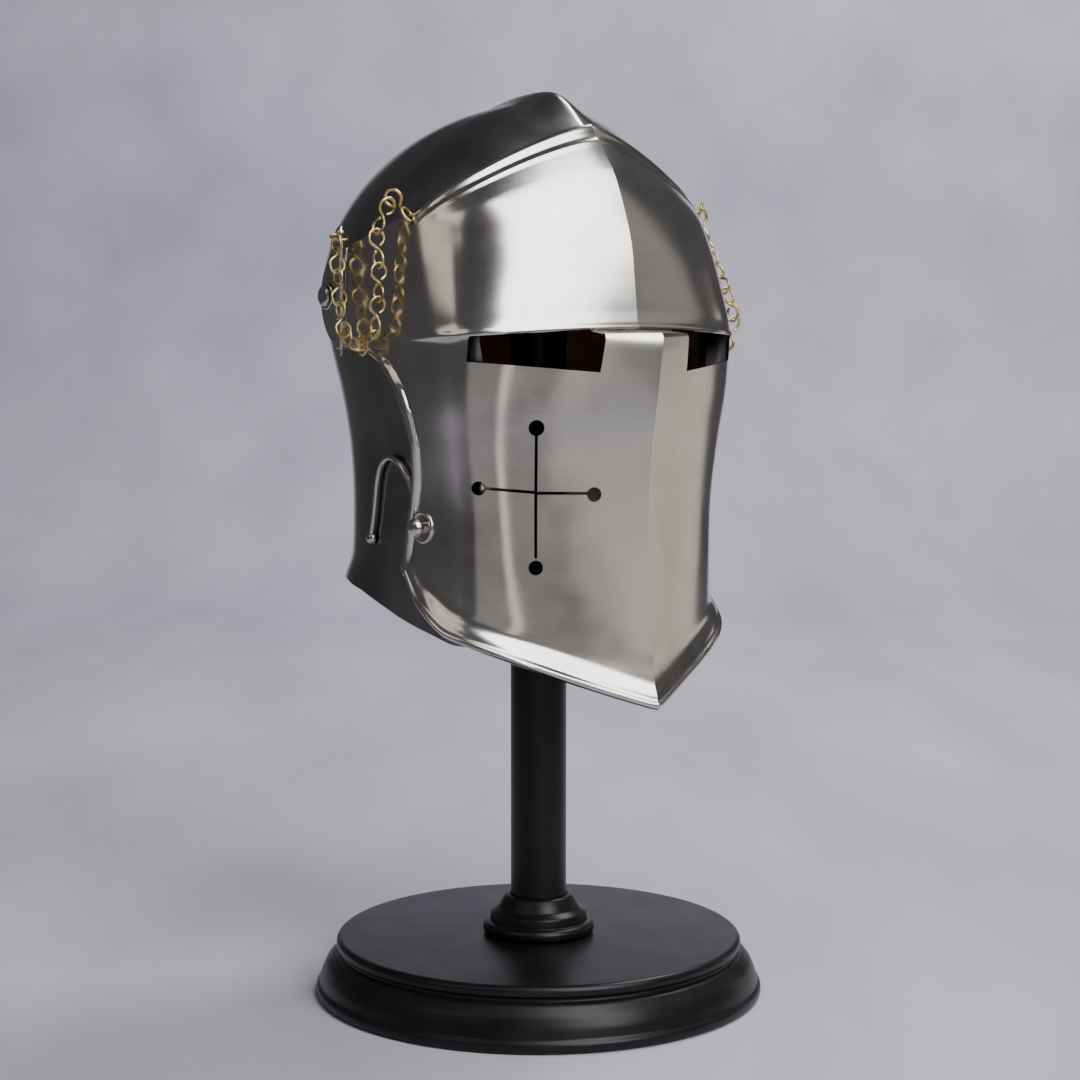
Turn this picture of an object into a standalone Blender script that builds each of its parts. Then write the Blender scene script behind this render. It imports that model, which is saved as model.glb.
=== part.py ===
import math

import bmesh
import bpy
import numpy as np
from mathutils import Vector

# Driving dimensions, in millimetres. The helmet faces -Y and stands on its base at z = 0.
MM = 0.001
BASE_RADIUS = 128.0
BASE_TOP_RADIUS = 114.0
BASE_HEIGHT = 33.0
COLLAR_RADIUS = 32.0
COLLAR_HEIGHT = 22.0
POST_RADIUS = 16.0
HEAD_RADIUS = 36.0
STEEL = 1.6
SKULL_WIDTH = 100.5
SKULL_BACK = 135.0
SKULL_FRONT = 84.0
VISOR_WIDTH = SKULL_WIDTH + 3.5
BROW_REACH = 89.0
FACE_REACH = 112.0
GAP = 0.3
DOME_BASE = 398.0
DOME_TOP = 500.0
POST_TOP = DOME_TOP - 50.0
APEX_Y = -3.0
CREST = 6.5
CREST_WIDTH = 11.0
LINING_BOTTOM = 306.0
LINING = 2.0
LINING_AIR = 2.4
EYE_LINE = 375.4
EYE_ARCH = 0.0005
CHIN = 175.0
PEAK = 487.0
PEAK_Y = -47.0
RING_Y = -22.0
RING_Z = 437.0
TAB_Y = 38.0
TAB_TOP = 419.0
TAB_BOTTOM = 367.0
PIVOT_Y = 57.0
PIVOT_Z = 394.0
HINGE_X = VISOR_WIDTH + 0.6
HINGE_Y = 39.5
LINK_WIRE = 1.45
LINK_LOOP = 4.5
LINK_PITCH = 17.7
LINK_PLAY = 1.15
END_RING = 4.6
EYELET_Y = -20.0
EYELET_Z = RING_Z - 4.6
CHAIN_X = HINGE_X + 6.0
LATCH_Y = -22.0
LATCH_Z = 271.0
SPRING_Y = 32.5
SPRING_Z = 261.0
NAPE_TOP = 250.0
NAPE_FLARE = 4.0

# The skull's level sections: height as a share of the way from CHIN to DOME_BASE; side width as a
# share of SKULL_WIDTH; start and end of the flat side and back as shares of SKULL_BACK; front as a
# share of SKULL_FRONT; the front curve's angle in degrees; its length and the side's forward pull
# as shares of SKULL_WIDTH.
SKULL = (
    (0.1121, 0.8955, 0.1111, 0.1926, 0.8963, 1, 11, 0.796, 0.5174),
    (0.2691, 0.8905, 0.1111, 0.1926, 0.8963, 1, 11, 0.796, 0.5174),
    (0.4036, 0.8806, 0.1111, 0.1926, 0.8815, 1, 11, 0.796, 0.5174),
    (0.5157, 0.8856, 0.1111, 0.1926, 0.8741, 1, 11, 0.796, 0.5174),
    (0.6233, 0.9055, 0.1111, 0.1926, 0.8815, 1, 11, 0.8159, 0.5373),
    (0.7399, 0.9403, 0.1111, 0.2074, 0.9111, 1, 11, 0.8358, 0.5771),
    (0.8655, 0.9801, 0.1111, 0.2519, 0.963, 1, 11, 0.8458, 0.5771),
    (1, 1, 0.1111, 0.2889, 1, 0.9464, 12, 0.796, 0.5572),
)

# The visor's level sections: height as a share of the way from CHIN to EYE_LINE on the face plate
# and from EYE_LINE to PEAK on the brow; front ridge as a share of the plate's reach; angle of the
# front curve in degrees; its length and the width as shares of VISOR_WIDTH; where the side turns
# straight as a share of TAB_Y; the side's forward pull as a share of VISOR_WIDTH.
LOWER = (
    (-0.025, 0.9241, 27, 0.75, 0.8942, -0.1316, 0.5),
    (0.0749, 0.933, 27, 0.7692, 0.899, -0.1316, 0.5192),
    (0.1996, 0.9107, 27, 0.7885, 0.899, -0.1316, 0.5288),
    (0.3293, 0.8929, 27, 0.8077, 0.8942, -0.1316, 0.5481),
    (0.5439, 0.8839, 27, 0.8462, 0.8971, -0.1316, 0.5673),
    (0.7036, 0.9107, 27, 0.875, 0.9423, -0.1053, 0.5962),
    (0.8184, 0.9464, 26, 0.9038, 0.9808, -0.0526, 0.625),
    (0.983, 0.9911, 25, 0.9231, 1, 0, 0.625),
    (1.023, 1, 25, 0.9231, 1, 0, 0.625),
)
BROW = (
    (-0.138, 1.0056, 11, 0.9135, 1, 0, 0.6058),
    (0.0054, 1, 11, 0.9135, 1, 0, 0.6058),
    (0.2204, 0.9719, 12, 0.8269, 1, 0.1316, 0.5962),
    (0.4265, 0.9326, 13, 0.7115, 0.9856, 0.2105, 0.5577),
    (0.5789, 0.8652, 13, 0.6154, 0.9519, 0.2632, 0.5192),
    (0.7849, 0.736, 15, 0.4135, 0.7788, 0.4737, 0.4615),
    (0.9373, 0.573, 13, 0.25, 0.5577, 0.3158, 0.3462),
    (1.0269, 0.4663, 13, 0.1923, 0.4231, 0.2105, 0.2692),
)

# The visor's rear edge, from its lower corner up to the hinge: share of the way, y as a share of
# TAB_Y, height as a share of the way from CHIN to TAB_BOTTOM.
REAR_EDGE = (
    (0, -0.1316, 0.375), (0.08, -0.1579, 0.4323), (0.2, -0.2763, 0.5312), (0.32, -0.4605, 0.6354),
    (0.42, -0.5263, 0.7292), (0.52, -0.4737, 0.8125), (0.62, -0.2895, 0.8958), (0.72, 0, 0.9531),
    (0.81, 0.3158, 0.9818), (0.9, 0.6579, 0.9938), (1, 1, 1),
)
# The skull's lower edge from front to back: y as a share of SKULL_BACK, height as below.
SKULL_RIM = (
    (-0.4444, 0.1435), (-0.2593, 0.148), (-0.163, 0.1682), (0.0444, 0.1996), (0.1852, 0.2242),
    (0.3259, 0.2534), (0.4889, 0.2691),
)
# Half of the openings cut in the skull and in the lining: x as a share of SKULL_WIDTH, height as a
# share of the way from CHIN to DOME_BASE.
FACE_ARCH = (
    (0.4975, 0.0673), (0.5473, 0.2915), (0.6368, 0.5605), (0.7363, 0.7623), (0.7662, 0.8744),
    (0.7164, 0.9731), (0.5771, 1.0493), (0.3582, 1.0987), (0.1194, 1.1211),
)
LINING_ARCH = (
    (0.6965, 0.5157), (0.796, 0.7623), (0.8159, 0.8744), (0.7662, 0.9865), (0.6169, 1.0717),
    (0.3781, 1.1256), (0.1194, 1.148),
)
# How each chain hangs between its first link and the hinge pin: y, z.
DRAPE_RIGHT = ((-9, 427), (-9, 409), (-8, 392), (-4, 376), (10, 366), (25, 370), (31, 387), (33, 405))
DRAPE_LEFT = (
    (-12, 428), (-21, 413), (-31, 398), (-38, 382), (-33, 366),
    (-17, 359), (0, 363), (13, 373), (23, 387), (31, 404),
)
# The jaw line's climb from the chin to the rear corner: share of the way round, share of the climb.
JAW = ((0, 0), (0.17, 0.11), (0.32, 0.215), (0.5, 0.35), (0.75, 0.54), (0.9, 0.76), (1, 1))


def clear_scene():
    for item in list(bpy.data.objects):
        bpy.data.objects.remove(item, do_unlink=True)


def surface(name, colour, rough, metal):
    made = bpy.data.materials.new(name)
    made.use_nodes = True
    shader = made.node_tree.nodes["Principled BSDF"]
    shader.inputs["Base Color"].default_value = (*colour, 1)
    shader.inputs["Roughness"].default_value = rough
    shader.inputs["Metallic"].default_value = metal
    return made


def finish(bm, name, material, smooth=True, cutter=False):
    bmesh.ops.recalc_face_normals(bm, faces=bm.faces[:])
    mesh = bpy.data.meshes.new(name)
    bm.to_mesh(mesh)
    bm.free()
    made = bpy.data.objects.new(name, mesh)
    bpy.context.scene.collection.objects.link(made)
    for face in mesh.polygons:
        face.use_smooth = smooth
    if material:
        mesh.materials.append(material)
    if cutter:
        made.hide_render = True
        made.display_type = "WIRE"
    return made


def boolean(target, other, operation="DIFFERENCE"):
    step = target.modifiers.new(operation.title(), "BOOLEAN")
    step.operation = operation
    step.solver = "EXACT"
    step.object = other
    other.hide_render = True
    other.display_type = "WIRE"


def table_at(table, height):
    """A table's other columns at this height, by a smooth curve through its rows."""
    rows = np.array(table, float)
    keys = rows[:, 0]
    values = rows[:, 1:]
    slopes = np.gradient(values, keys, axis=0)
    i = int(np.clip(np.searchsorted(keys, height) - 1, 0, len(keys) - 2))
    span = keys[i + 1] - keys[i]
    t = min(max((height - keys[i]) / span, 0.0), 1.0)
    a = 2 * t**3 - 3 * t**2 + 1
    b = t**3 - 2 * t**2 + t
    c = 3 * t**2 - 2 * t**3
    d = t**3 - t**2
    return a * values[i] + b * span * slopes[i] + c * values[i + 1] + d * span * slopes[i + 1]


def curve(ends, count):
    """Points on a cubic curve given by its four controls."""
    t = np.linspace(0, 1, count)[:, None]
    p = np.array(ends, float)
    s = 1 - t
    return s**3 * p[0] + 3 * s**2 * t * p[1] + 3 * s * t**2 * p[2] + t**3 * p[3]


def ease(value, low, high):
    t = min(max((value - low) / (high - low), 0.0), 1.0)
    return t * t * (3 - 2 * t)


def between(low, high, share):
    return low + (high - low) * share


def at_share(line, share):
    """The point this share of the way along a line."""
    steps = np.linalg.norm(np.diff(line, axis=0), axis=1)
    along = np.concatenate([[0], np.cumsum(steps)])
    want = share * along[-1]
    return np.array([np.interp(want, along, line[:, k]) for k in range(line.shape[1])])


def skull_section(height):
    """Half of the skull's outline at this height, as (x, y) from the front to the back."""
    shrink = 1.0
    if height > DOME_BASE:
        rise = (height - DOME_BASE) / (DOME_TOP - DOME_BASE)
        shrink = math.sqrt(max(1 - rise**1.85, 0.0))
    row = table_at(SKULL, (min(height, DOME_BASE) - CHIN) / (DOME_BASE - CHIN))
    wide, start, end, back, front, angle, length, pull = row
    wide, length, pull = (SKULL_WIDTH * size for size in (wide, length, pull))
    wide = wide * shrink
    places = (SKULL_BACK * start, SKULL_BACK * end, SKULL_BACK * back, -SKULL_FRONT * front)
    start, end, back, front = (APEX_Y + (y - APEX_Y) * shrink for y in places)
    point = 1 - shrink
    angle = math.radians(angle + 6 * point)
    length = length * shrink * (1 - 0.9 * point)
    pull = pull * shrink * (1 - 0.25 * point)
    ahead = (length * math.cos(angle), front + length * math.sin(angle))
    fore = curve([(0, front), ahead, (wide, start - pull), (wide, start)], 24)
    rear = curve([(wide, end), (wide, end + 0.56 * (back - end)), (0.58 * wide, back), (0, back)], 24)
    return np.concatenate([fore, rear])


def skull_point(share, height, inset=0.0):
    """A point of the skull's outside, or this far inside it. Share runs from front to back."""
    x, y = at_share(skull_section(height), share)
    middle = np.array([0.0, 20.0 - 15 * ease(height, DOME_BASE, DOME_TOP), min(height, DOME_BASE)])
    point = np.array([x, y, height])
    out = point - middle
    out = out / np.linalg.norm(out)
    over = ease(height, 300, DOME_BASE) if y > 0 else ease(y, -40, -12)
    point = point + out * CREST * over * math.exp(-((x / CREST_WIDTH) ** 2))
    if y > 0 and height < NAPE_TOP:
        flare = NAPE_FLARE * ease(y, 20, 60) * ease(NAPE_TOP - height, 0, 18)
        point = point + np.array([out[0], out[1], 0]) * flare
    return point - out * inset


def skull_bottom(y):
    """The height of the skull's lower edge at this y."""
    edge = np.array(SKULL_RIM)
    return float(np.interp(y, edge[:, 0] * SKULL_BACK, between(CHIN, DOME_BASE, edge[:, 1])))


def skull_grid(columns, rows, bottom, inset):
    """Rings of skull points from the rim up to the crown, closed round the head."""
    grid = []
    for r in range(rows + 1):
        v = r / rows
        if v < 0.55:
            height = bottom + (DOME_BASE - bottom) * v / 0.55
        else:
            angle = (v - 0.55) / 0.45 * math.pi / 2
            height = DOME_BASE + (DOME_TOP - DOME_BASE) * math.sin(angle)
        ring = []
        for c in range(columns):
            turn = c / columns * 2
            share = turn if turn <= 1 else 2 - turn
            level = height
            if bottom < NAPE_TOP and v < 0.35:
                for _ in range(3):
                    y = skull_point(share, level, inset)[1]
                    level = height + (skull_bottom(y) - bottom) * (1 - v / 0.35) ** 1.5
            point = skull_point(share, level, inset)
            ring.append(point * np.array([1 if turn <= 1 else -1, 1, 1]))
        grid.append(ring)
    return np.array(grid)


def shell(name, outer, inner, material, round_the_head):
    """A closed wall between two grids of points, joined along their free edges."""
    rows, columns = outer.shape[:2]
    width = columns + 1 if round_the_head else columns
    bm = bmesh.new()
    bmesh.ops.create_grid(bm, x_segments=width - 1, y_segments=rows - 1, size=0.5)
    spot = bm.verts.layers.int.new("spot")
    bm.verts.ensure_lookup_table()
    for i, vert in enumerate(bm.verts):
        vert[spot] = (i // width) * columns + (i % width) % columns
        vert.co = outer.reshape(-1, 3)[vert[spot]] * MM
    bmesh.ops.remove_doubles(bm, verts=bm.verts[:], dist=1e-6)
    made = bmesh.ops.extrude_face_region(bm, geom=bm.faces[:], use_keep_orig=True)
    for item in made["geom"]:
        if isinstance(item, bmesh.types.BMVert):
            item.co = inner.reshape(-1, 3)[item[spot]] * MM
    bmesh.ops.remove_doubles(bm, verts=bm.verts[:], dist=1e-6)
    return finish(bm, name, material)


def prism(name, outline, near, far, turn=0.0, about=(0, 0)):
    """A closed block through the outline (x, z), from y = near to y = far, turned about the vertical."""
    bm = bmesh.new()
    verts = [bm.verts.new((x * MM, near * MM, z * MM)) for x, z in outline]
    face = bm.faces.new(verts)
    made = bmesh.ops.extrude_face_region(bm, geom=[face], use_keep_orig=True)
    for item in made["geom"]:
        if isinstance(item, bmesh.types.BMVert):
            item.co.y = far * MM
    for vert in bm.verts:
        x, y = vert.co.x, vert.co.y
        vert.co.x = x * math.cos(turn) - y * math.sin(turn) + about[0] * MM
        vert.co.y = x * math.sin(turn) + y * math.cos(turn) + about[1] * MM
    return finish(bm, name, None, cutter=True)


def turned(name, profile, material, sides, centre=(0, 0, 0), axis=(0, 0, 1)):
    """A solid of revolution about the axis: profile rows (radius, distance along it) from the bottom up.
    Radius 0 closes an end, and a profile with no such row is a ring."""
    bm = bmesh.new()
    rings = []
    for radius, height in profile:
        if radius == 0:
            rings.append([bm.verts.new((0, 0, height * MM))])
            continue
        angles = [2 * math.pi * (k + 0.5) / sides for k in range(sides)]
        spots = [(radius * math.cos(a), radius * math.sin(a), height) for a in angles]
        rings.append([bm.verts.new(Vector(spot) * MM) for spot in spots])
    hollow = profile[0][0] != 0
    for low, high in zip(rings, rings[1:] + ([rings[0]] if hollow else [])):
        for k in range(sides):
            n = (k + 1) % sides
            corners = [low[k % len(low)], low[n % len(low)], high[n % len(high)], high[k % len(high)]]
            bm.faces.new(list(dict.fromkeys(corners)))
    lean = Vector((0, 0, 1)).rotation_difference(Vector(axis))
    for vert in bm.verts:
        vert.co = lean @ vert.co + Vector(centre) * MM
    return finish(bm, name, material)


def wire(name, points, radius, sides, material, closed=False):
    """A round wire along these points, capped at both ends unless closed."""
    path = np.array(points, float)
    count = len(path)
    if closed:
        tangents = np.roll(path, -1, axis=0) - np.roll(path, 1, axis=0)
    else:
        tangents = np.gradient(path, axis=0)
    tangents = tangents / np.linalg.norm(tangents, axis=1)[:, None]
    side = np.cross(tangents[0], (0.31, 0.52, 0.79))
    frames = []
    for k in range(count):
        side = side - tangents[k] * np.dot(side, tangents[k])
        side = side / np.linalg.norm(side)
        frames.append((side.copy(), np.cross(tangents[k], side)))
    twist = 0.0
    if closed:
        last = frames[-1][0] - tangents[0] * np.dot(frames[-1][0], tangents[0])
        twist = math.atan2(np.dot(last, frames[0][1]), np.dot(last, frames[0][0]))
    bm = bmesh.new()
    rings = []
    for k in range(count):
        ring = []
        for s in range(sides):
            a = 2 * math.pi * s / sides - twist * k / count
            spot = path[k] + radius * (math.cos(a) * frames[k][0] + math.sin(a) * frames[k][1])
            ring.append(bm.verts.new(spot * MM))
        rings.append(ring)
    last = count if closed else count - 1
    for k in range(last):
        low, high = rings[k], rings[(k + 1) % count]
        for s in range(sides):
            n = (s + 1) % sides
            bm.faces.new((low[s], low[n], high[n], high[s]))
    if not closed:
        bm.faces.new(rings[0][::-1])
        bm.faces.new(rings[-1])
    return finish(bm, name, material)


def mirrored(points, side):
    return np.array(points, float) * np.array([side, 1, 1])


# Stand: a turned base, a collar, a post and a plain support hidden inside the skull.
def make_stand(black):
    flare = [(0, 0), (BASE_RADIUS - 1.5, 0), (BASE_RADIUS, 2), (BASE_RADIUS, 6), (BASE_RADIUS - 1, 8)]
    flare += [(BASE_RADIUS - 2.5, 13), (BASE_RADIUS - 6.5, 20), (BASE_RADIUS - 12, 25)]
    flare += [(BASE_TOP_RADIUS, 26.5), (BASE_TOP_RADIUS + 1.5, 29), (BASE_TOP_RADIUS, 32)]
    flare += [(BASE_TOP_RADIUS - 2.5, BASE_HEIGHT), (0, BASE_HEIGHT)]
    turned("stand_base", flare, black, 24)
    low = BASE_HEIGHT + GAP
    bore = POST_RADIUS + GAP
    steps = [(bore, low), (COLLAR_RADIUS - 1.5, low), (COLLAR_RADIUS, low + 3), (COLLAR_RADIUS - 1.5, low + 6.5)]
    steps += [(COLLAR_RADIUS - 4, low + 7.5), (COLLAR_RADIUS - 4, low + 12), (COLLAR_RADIUS - 9, low + 15)]
    steps += [(COLLAR_RADIUS - 11, low + 19), (COLLAR_RADIUS - 13, low + COLLAR_HEIGHT), (bore, low + COLLAR_HEIGHT)]
    turned("stand_collar", steps, black, 20)
    turned("stand_post", [(0, low), (POST_RADIUS, low), (POST_RADIUS, POST_TOP), (0, POST_TOP)], black, 20)
    top = DOME_TOP - STEEL - LINING_AIR - LINING - GAP - 0.5
    dome = [(0, POST_TOP + GAP), (HEAD_RADIUS - 9, POST_TOP + GAP), (HEAD_RADIUS, POST_TOP + 8)]
    dome += [(HEAD_RADIUS, top - 24), (HEAD_RADIUS * 0.86, top - 13), (HEAD_RADIUS * 0.5, top - 4), (0, top)]
    turned("stand_head", dome, black, 16)


def arch_outline(half):
    """Both sides of an arch (x, z) from its half in shares."""
    right = [(SKULL_WIDTH * x, between(CHIN, DOME_BASE, z)) for x, z in half]
    return right + [(-x, z) for x, z in right[::-1]]


# Skull: one raised shell with a crest, cut by the face opening and by the rivets' holes.
def make_skull(steel):
    bottom = between(CHIN, DOME_BASE, SKULL_RIM[0][1])
    outer = skull_grid(30, 11, bottom, 0.0)
    inner = skull_grid(30, 11, bottom, STEEL)
    skull = shell("skull", outer, inner, steel, True)
    boolean(skull, prism("cut_face", arch_outline(FACE_ARCH), -2 * FACE_REACH, -0.25 * SKULL_FRONT))
    through = 1.3 * SKULL_WIDTH
    hole = [(0, -through), (3.3, -through), (3.3, through), (0, through)]
    boolean(skull, turned("cut_pivots", hole, None, 12, (0, PIVOT_Y, PIVOT_Z), (1, 0, 0)))
    spot, out = visor_frame(LATCH_Y, LATCH_Z, False)
    relief = [(0, -22), (9.6, -22), (9.6, 3), (0, 3)]
    boolean(skull, turned("cut_latch", relief, None, 16, side_of(spot, -1), side_of(out, -1)))
    return skull


# Lining: a leather cap inside the crown, its front edge at the face opening.
def make_lining(leather):
    outer = skull_grid(30, 5, LINING_BOTTOM, STEEL + LINING_AIR)
    inner = skull_grid(30, 5, LINING_BOTTOM, STEEL + LINING_AIR + LINING)
    lining = shell("lining", outer, inner, leather, True)
    boolean(lining, prism("cut_lining", arch_outline(LINING_ARCH), -2 * FACE_REACH, -0.25 * SKULL_FRONT))


def visor_section(height, table):
    low, high, reach = (EYE_LINE, PEAK, BROW_REACH) if table is BROW else (CHIN, EYE_LINE, FACE_REACH)
    front, angle, length, wide, start, pull = table_at(table, (height - low) / (high - low))
    length, wide, pull = (VISOR_WIDTH * size for size in (length, wide, pull))
    front, start = -reach * front, TAB_Y * start
    angle = math.radians(angle)
    ahead = (length * math.cos(angle), front + length * math.sin(angle))
    fore = curve([(0, front), ahead, (wide, start - pull), (wide, start)], 28)
    return np.concatenate([fore, [(wide, TAB_Y + 22)]])


def visor_point(share, height, end_y, brow):
    """A point of the visor's sheet. Brow is 1 on the brow plate and 0 on the face plate."""
    spots = []
    for table in (LOWER, BROW):
        line = visor_section(height, table)
        steps = np.linalg.norm(np.diff(line, axis=0), axis=1)
        along = np.concatenate([[0], np.cumsum(steps)])
        past = np.interp(end_y, line[:, 1], along)
        want = share * past
        spots.append(np.array([np.interp(want, along, line[:, 0]), np.interp(want, along, line[:, 1])]))
    x, y = spots[0] + (spots[1] - spots[0]) * brow
    return np.array([x, y, height])


def top_edge(y):
    if y < RING_Y:
        return PEAK - (PEAK - RING_Z) * (y - PEAK_Y) / (RING_Y - PEAK_Y)
    return RING_Z - (RING_Z - TAB_TOP) * (y - RING_Y) / (TAB_Y - RING_Y)


def top_height(share):
    """The height at which the visor's sheet meets its top edge, by halving."""
    low, high = 405.0, PEAK + 0.01
    for _ in range(30):
        middle = (low + high) / 2
        if middle < top_edge(visor_point(share, middle, TAB_Y, 1)[1]):
            low = middle
        else:
            high = middle
    return (low + high) / 2


def visor_rows():
    """Each row of the visor: kind, place, brow share, lift of the sheet, extra thickness."""
    rows = [("edge", 0.0, 0, 4.2, 2.2), ("edge", 3.5, 0, 5.4, 1.2), ("edge", 7.5, 0, 4.9, 0), ("edge", 12.5, 0, 2.9, 0)]
    rows += [("face", t, 0, 0, 0) for t in (0.14, 0.25, 0.37, 0.49, 0.61, 0.72, 0.81, 0.9)]
    rows += [("eye", -4.0, 0, 0, 0), ("eye", -1.6, 0.12, 0, 0), ("eye", 0.0, 1, 1.2, 0)]
    rows += [("eye", 1.6, 1, 1.3, 0), ("eye", 4.5, 1, 0.2, 0)]
    rows += [("top", t, 1, 0, 0) for t in (0.14, 0.32, 0.49, 0.65, 0.8)]
    rows += [("band", 7, 1, 0, 0), ("band", 4.2, 1, 1.5, 0), ("band", 0, 1, 1.5, 0.6)]
    return rows


def visor_height(kind, place, share):
    climb = np.interp(share, [j[0] for j in JAW], [j[1] for j in JAW])
    edge = np.array(REAR_EDGE)
    x = visor_point(share, EYE_LINE, TAB_Y, 1)[0]
    eye = EYE_LINE - EYE_ARCH * min(x, 95.0) ** 2
    if kind == "edge" or kind == "face":
        way = place if kind == "face" else 0.0
        front = CHIN + (EYE_LINE - 4 - CHIN) * way
        end_y = TAB_Y * float(np.interp(way, edge[:, 0], edge[:, 1]))
        end_z = between(CHIN, TAB_BOTTOM, float(np.interp(way, edge[:, 0], edge[:, 2])))
        height = front + (end_z - front) * climb ** (1 - 0.75 * way)
        if kind == "edge":
            height = height + place
            end_y = end_y - 0.12 * place
        blend = ease(way, 0.8, 1.0)
        return height + (eye - EYE_LINE) * blend * (1 - share), end_y
    if kind == "eye":
        return eye + place, TAB_Y
    if kind == "band":
        return top_height(share) - place, TAB_Y
    return eye + 1 + (top_height(share) - eye - 1) * place, TAB_Y


def visor_grids(half):
    """The visor's sheet from rear edge to rear edge: its outside and its inside."""
    sheet, lifts, extras = [], [], []
    for kind, place, brow, lift, extra in visor_rows():
        line, raised, thick = [], [], []
        for c in range(-half, half + 1):
            share = abs(c) / half
            share = share if share < 1 else 1.0
            height, end_y = visor_height(kind, place, share)
            point = visor_point(share, height, end_y, brow)
            rise = lift
            if kind in ("eye", "band"):
                rise = lift * (1 - ease(share, 0.55, 0.72))
            if kind == "edge":
                rise = lift * (0.8 + 0.5 * ease(share, 0.2, 0.55) - 0.8 * ease(share, 0.75, 1))
            fat = extra
            if kind in ("edge", "face") and (kind == "edge" or place < 0.8) and half - abs(c) < 2:
                rise = max(rise, 1.5)
                fat = max(fat, 1.5 if half == abs(c) else 0.5)
            line.append(point * np.array([-1 if c < 0 else 1, 1, 1]))
            raised.append(rise)
            thick.append(fat if kind != "band" else extra * (1 - ease(share, 0.55, 0.72)))
        sheet.append(line)
        lifts.append(raised)
        extras.append(thick)
    sheet = np.array(sheet)
    across = np.gradient(sheet, axis=1)
    along = np.gradient(sheet, axis=0)
    out = np.cross(across, along)
    out = out / np.linalg.norm(out, axis=2)[:, :, None]
    out[:, half, 0] = 0
    for r, (kind, place, brow, lift, extra) in enumerate(visor_rows()):
        for c in range(2 * half + 1):
            if abs(c - half) > 0.6 * half:
                point = sheet[r, c]
                out[r, c] = side_of(visor_frame(point[1], point[2], brow > 0.5)[1], np.sign(point[0]))
    out = out / np.linalg.norm(out, axis=2)[:, :, None]
    lifts = np.array(lifts)[:, :, None]
    extras = np.array(extras)[:, :, None]
    return sheet + out * lifts, sheet + out * (lifts - STEEL - extras)


# Visor: one plate with a stepped eye line, pierced breaths and the outer knuckles of both hinges.
def make_visor(steel):
    outer, inner = visor_grids(12)
    visor = shell("visor", outer, inner, steel, False)
    for side in (-1, 1):
        slot = [(27.5, 375.8), (88.6, 372.3), (89, 359), (29, 353.4)]
        slot = [(x * side, z) for x, z in slot]
        boolean(visor, prism(f"cut_slot_{side}", slot, -140, -30))
    turn = math.radians(-31)
    cross = [(-0.8, -36), (0.8, -36), (0.8, -2.4), (28, -2.9), (28, -1.3), (0.8, -0.8)]
    cross += [(0.8, 30), (-0.8, 30), (-0.8, -0.4), (-27, 1.9), (-27, 0.3), (-0.8, -2.0)]
    cross = [(x, z + 292) for x, z in cross]
    boolean(visor, prism("cut_cross", cross, -30, 30, turn, (-55, -73.5)))
    breaths = (("top", 0, 324.6, 4.2), ("left", -30, 293, 3.7), ("right", 31, 289.3, 3.9), ("bottom", 0, 251, 3.9))
    for name, x, z, radius in breaths:
        angles = [k * math.pi / 6 for k in range(12)]
        ring = [(x + radius * math.cos(a), z + radius * math.sin(a)) for a in angles]
        boolean(visor, prism(f"cut_breath_{name}", ring, -30, 30, turn, (-55, -73.5)))
    spot, out = visor_frame(LATCH_Y, LATCH_Z, False)
    hole = [(0, -9), (6.4, -9), (6.4, 9), (0, 9)]
    boolean(visor, turned("cut_latch_hole", hole, None, 14, side_of(spot, -1), side_of(out, -1)))
    for side in (-1, 1):
        spot, out = visor_frame(EYELET_Y, EYELET_Z, True)
        hole = [(0, -4), (2.5, -4), (2.5, 4), (0, 4)]
        boolean(visor, turned(f"cut_eyelet_{side}", hole, None, 10, side_of(spot, side), side_of(out, side)))
        corners = [(HINGE_Y - 3.1, 380.7), (50, 380.7), (50, 407.3), (HINGE_Y - 3.1, 407.3)]
        boolean(visor, slab(f"cut_notch_{side}", corners, HINGE_X - 6.6, HINGE_X + 5.4, side))
        for low, high in ((365, 380.4), (407.6, 423)):
            made = knuckle(f"join_knuckle_{side}_{int(low)}", low, high, side)
            boolean(visor, made, "UNION")
        boolean(visor, knuckle(f"cut_pin_visor_{side}", 350, 440, side, 1.35))
    return visor


def side_of(point, side):
    return (point[0] * side, point[1], point[2])


def visor_frame(y, z, brow):
    """The point of the visor's sheet on the wearer's left at this y and height, and its outward direction."""
    table = BROW if brow else LOWER
    line = visor_section(z, table)
    x = np.interp(y, line[:, 1], line[:, 0])
    ahead = np.interp(y - 2, line[:, 1], line[:, 0])
    behind = np.interp(y + 2, line[:, 1], line[:, 0])
    above = visor_section(z + 2, table)
    below = visor_section(z - 2, table)
    rise = np.interp(y, above[:, 1], above[:, 0]) - np.interp(y, below[:, 1], below[:, 0])
    out = np.array([1.0, -(behind - ahead) / 4, -rise / 4])
    return np.array([x, y, z]), out / np.linalg.norm(out)


def slab(name, outline, near, far, side, material=None):
    """A flat plate through the outline (y, z), from x = near to x = far on one side."""
    bm = bmesh.new()
    face = bm.faces.new([bm.verts.new((near * side * MM, y * MM, z * MM)) for y, z in outline])
    made = bmesh.ops.extrude_face_region(bm, geom=[face], use_keep_orig=True)
    for item in made["geom"]:
        if isinstance(item, bmesh.types.BMVert):
            item.co.x = far * side * MM
    bmesh.ops.triangulate(bm, faces=bm.faces[:])
    return finish(bm, name, material, smooth=False, cutter=material is None)


def knuckle(name, low, high, side, radius=2.7, material=None):
    profile = [(0, low), (radius, low), (radius, high), (0, high)]
    return turned(name, profile, material, 10, (HINGE_X * side, HINGE_Y, 0))


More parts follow.
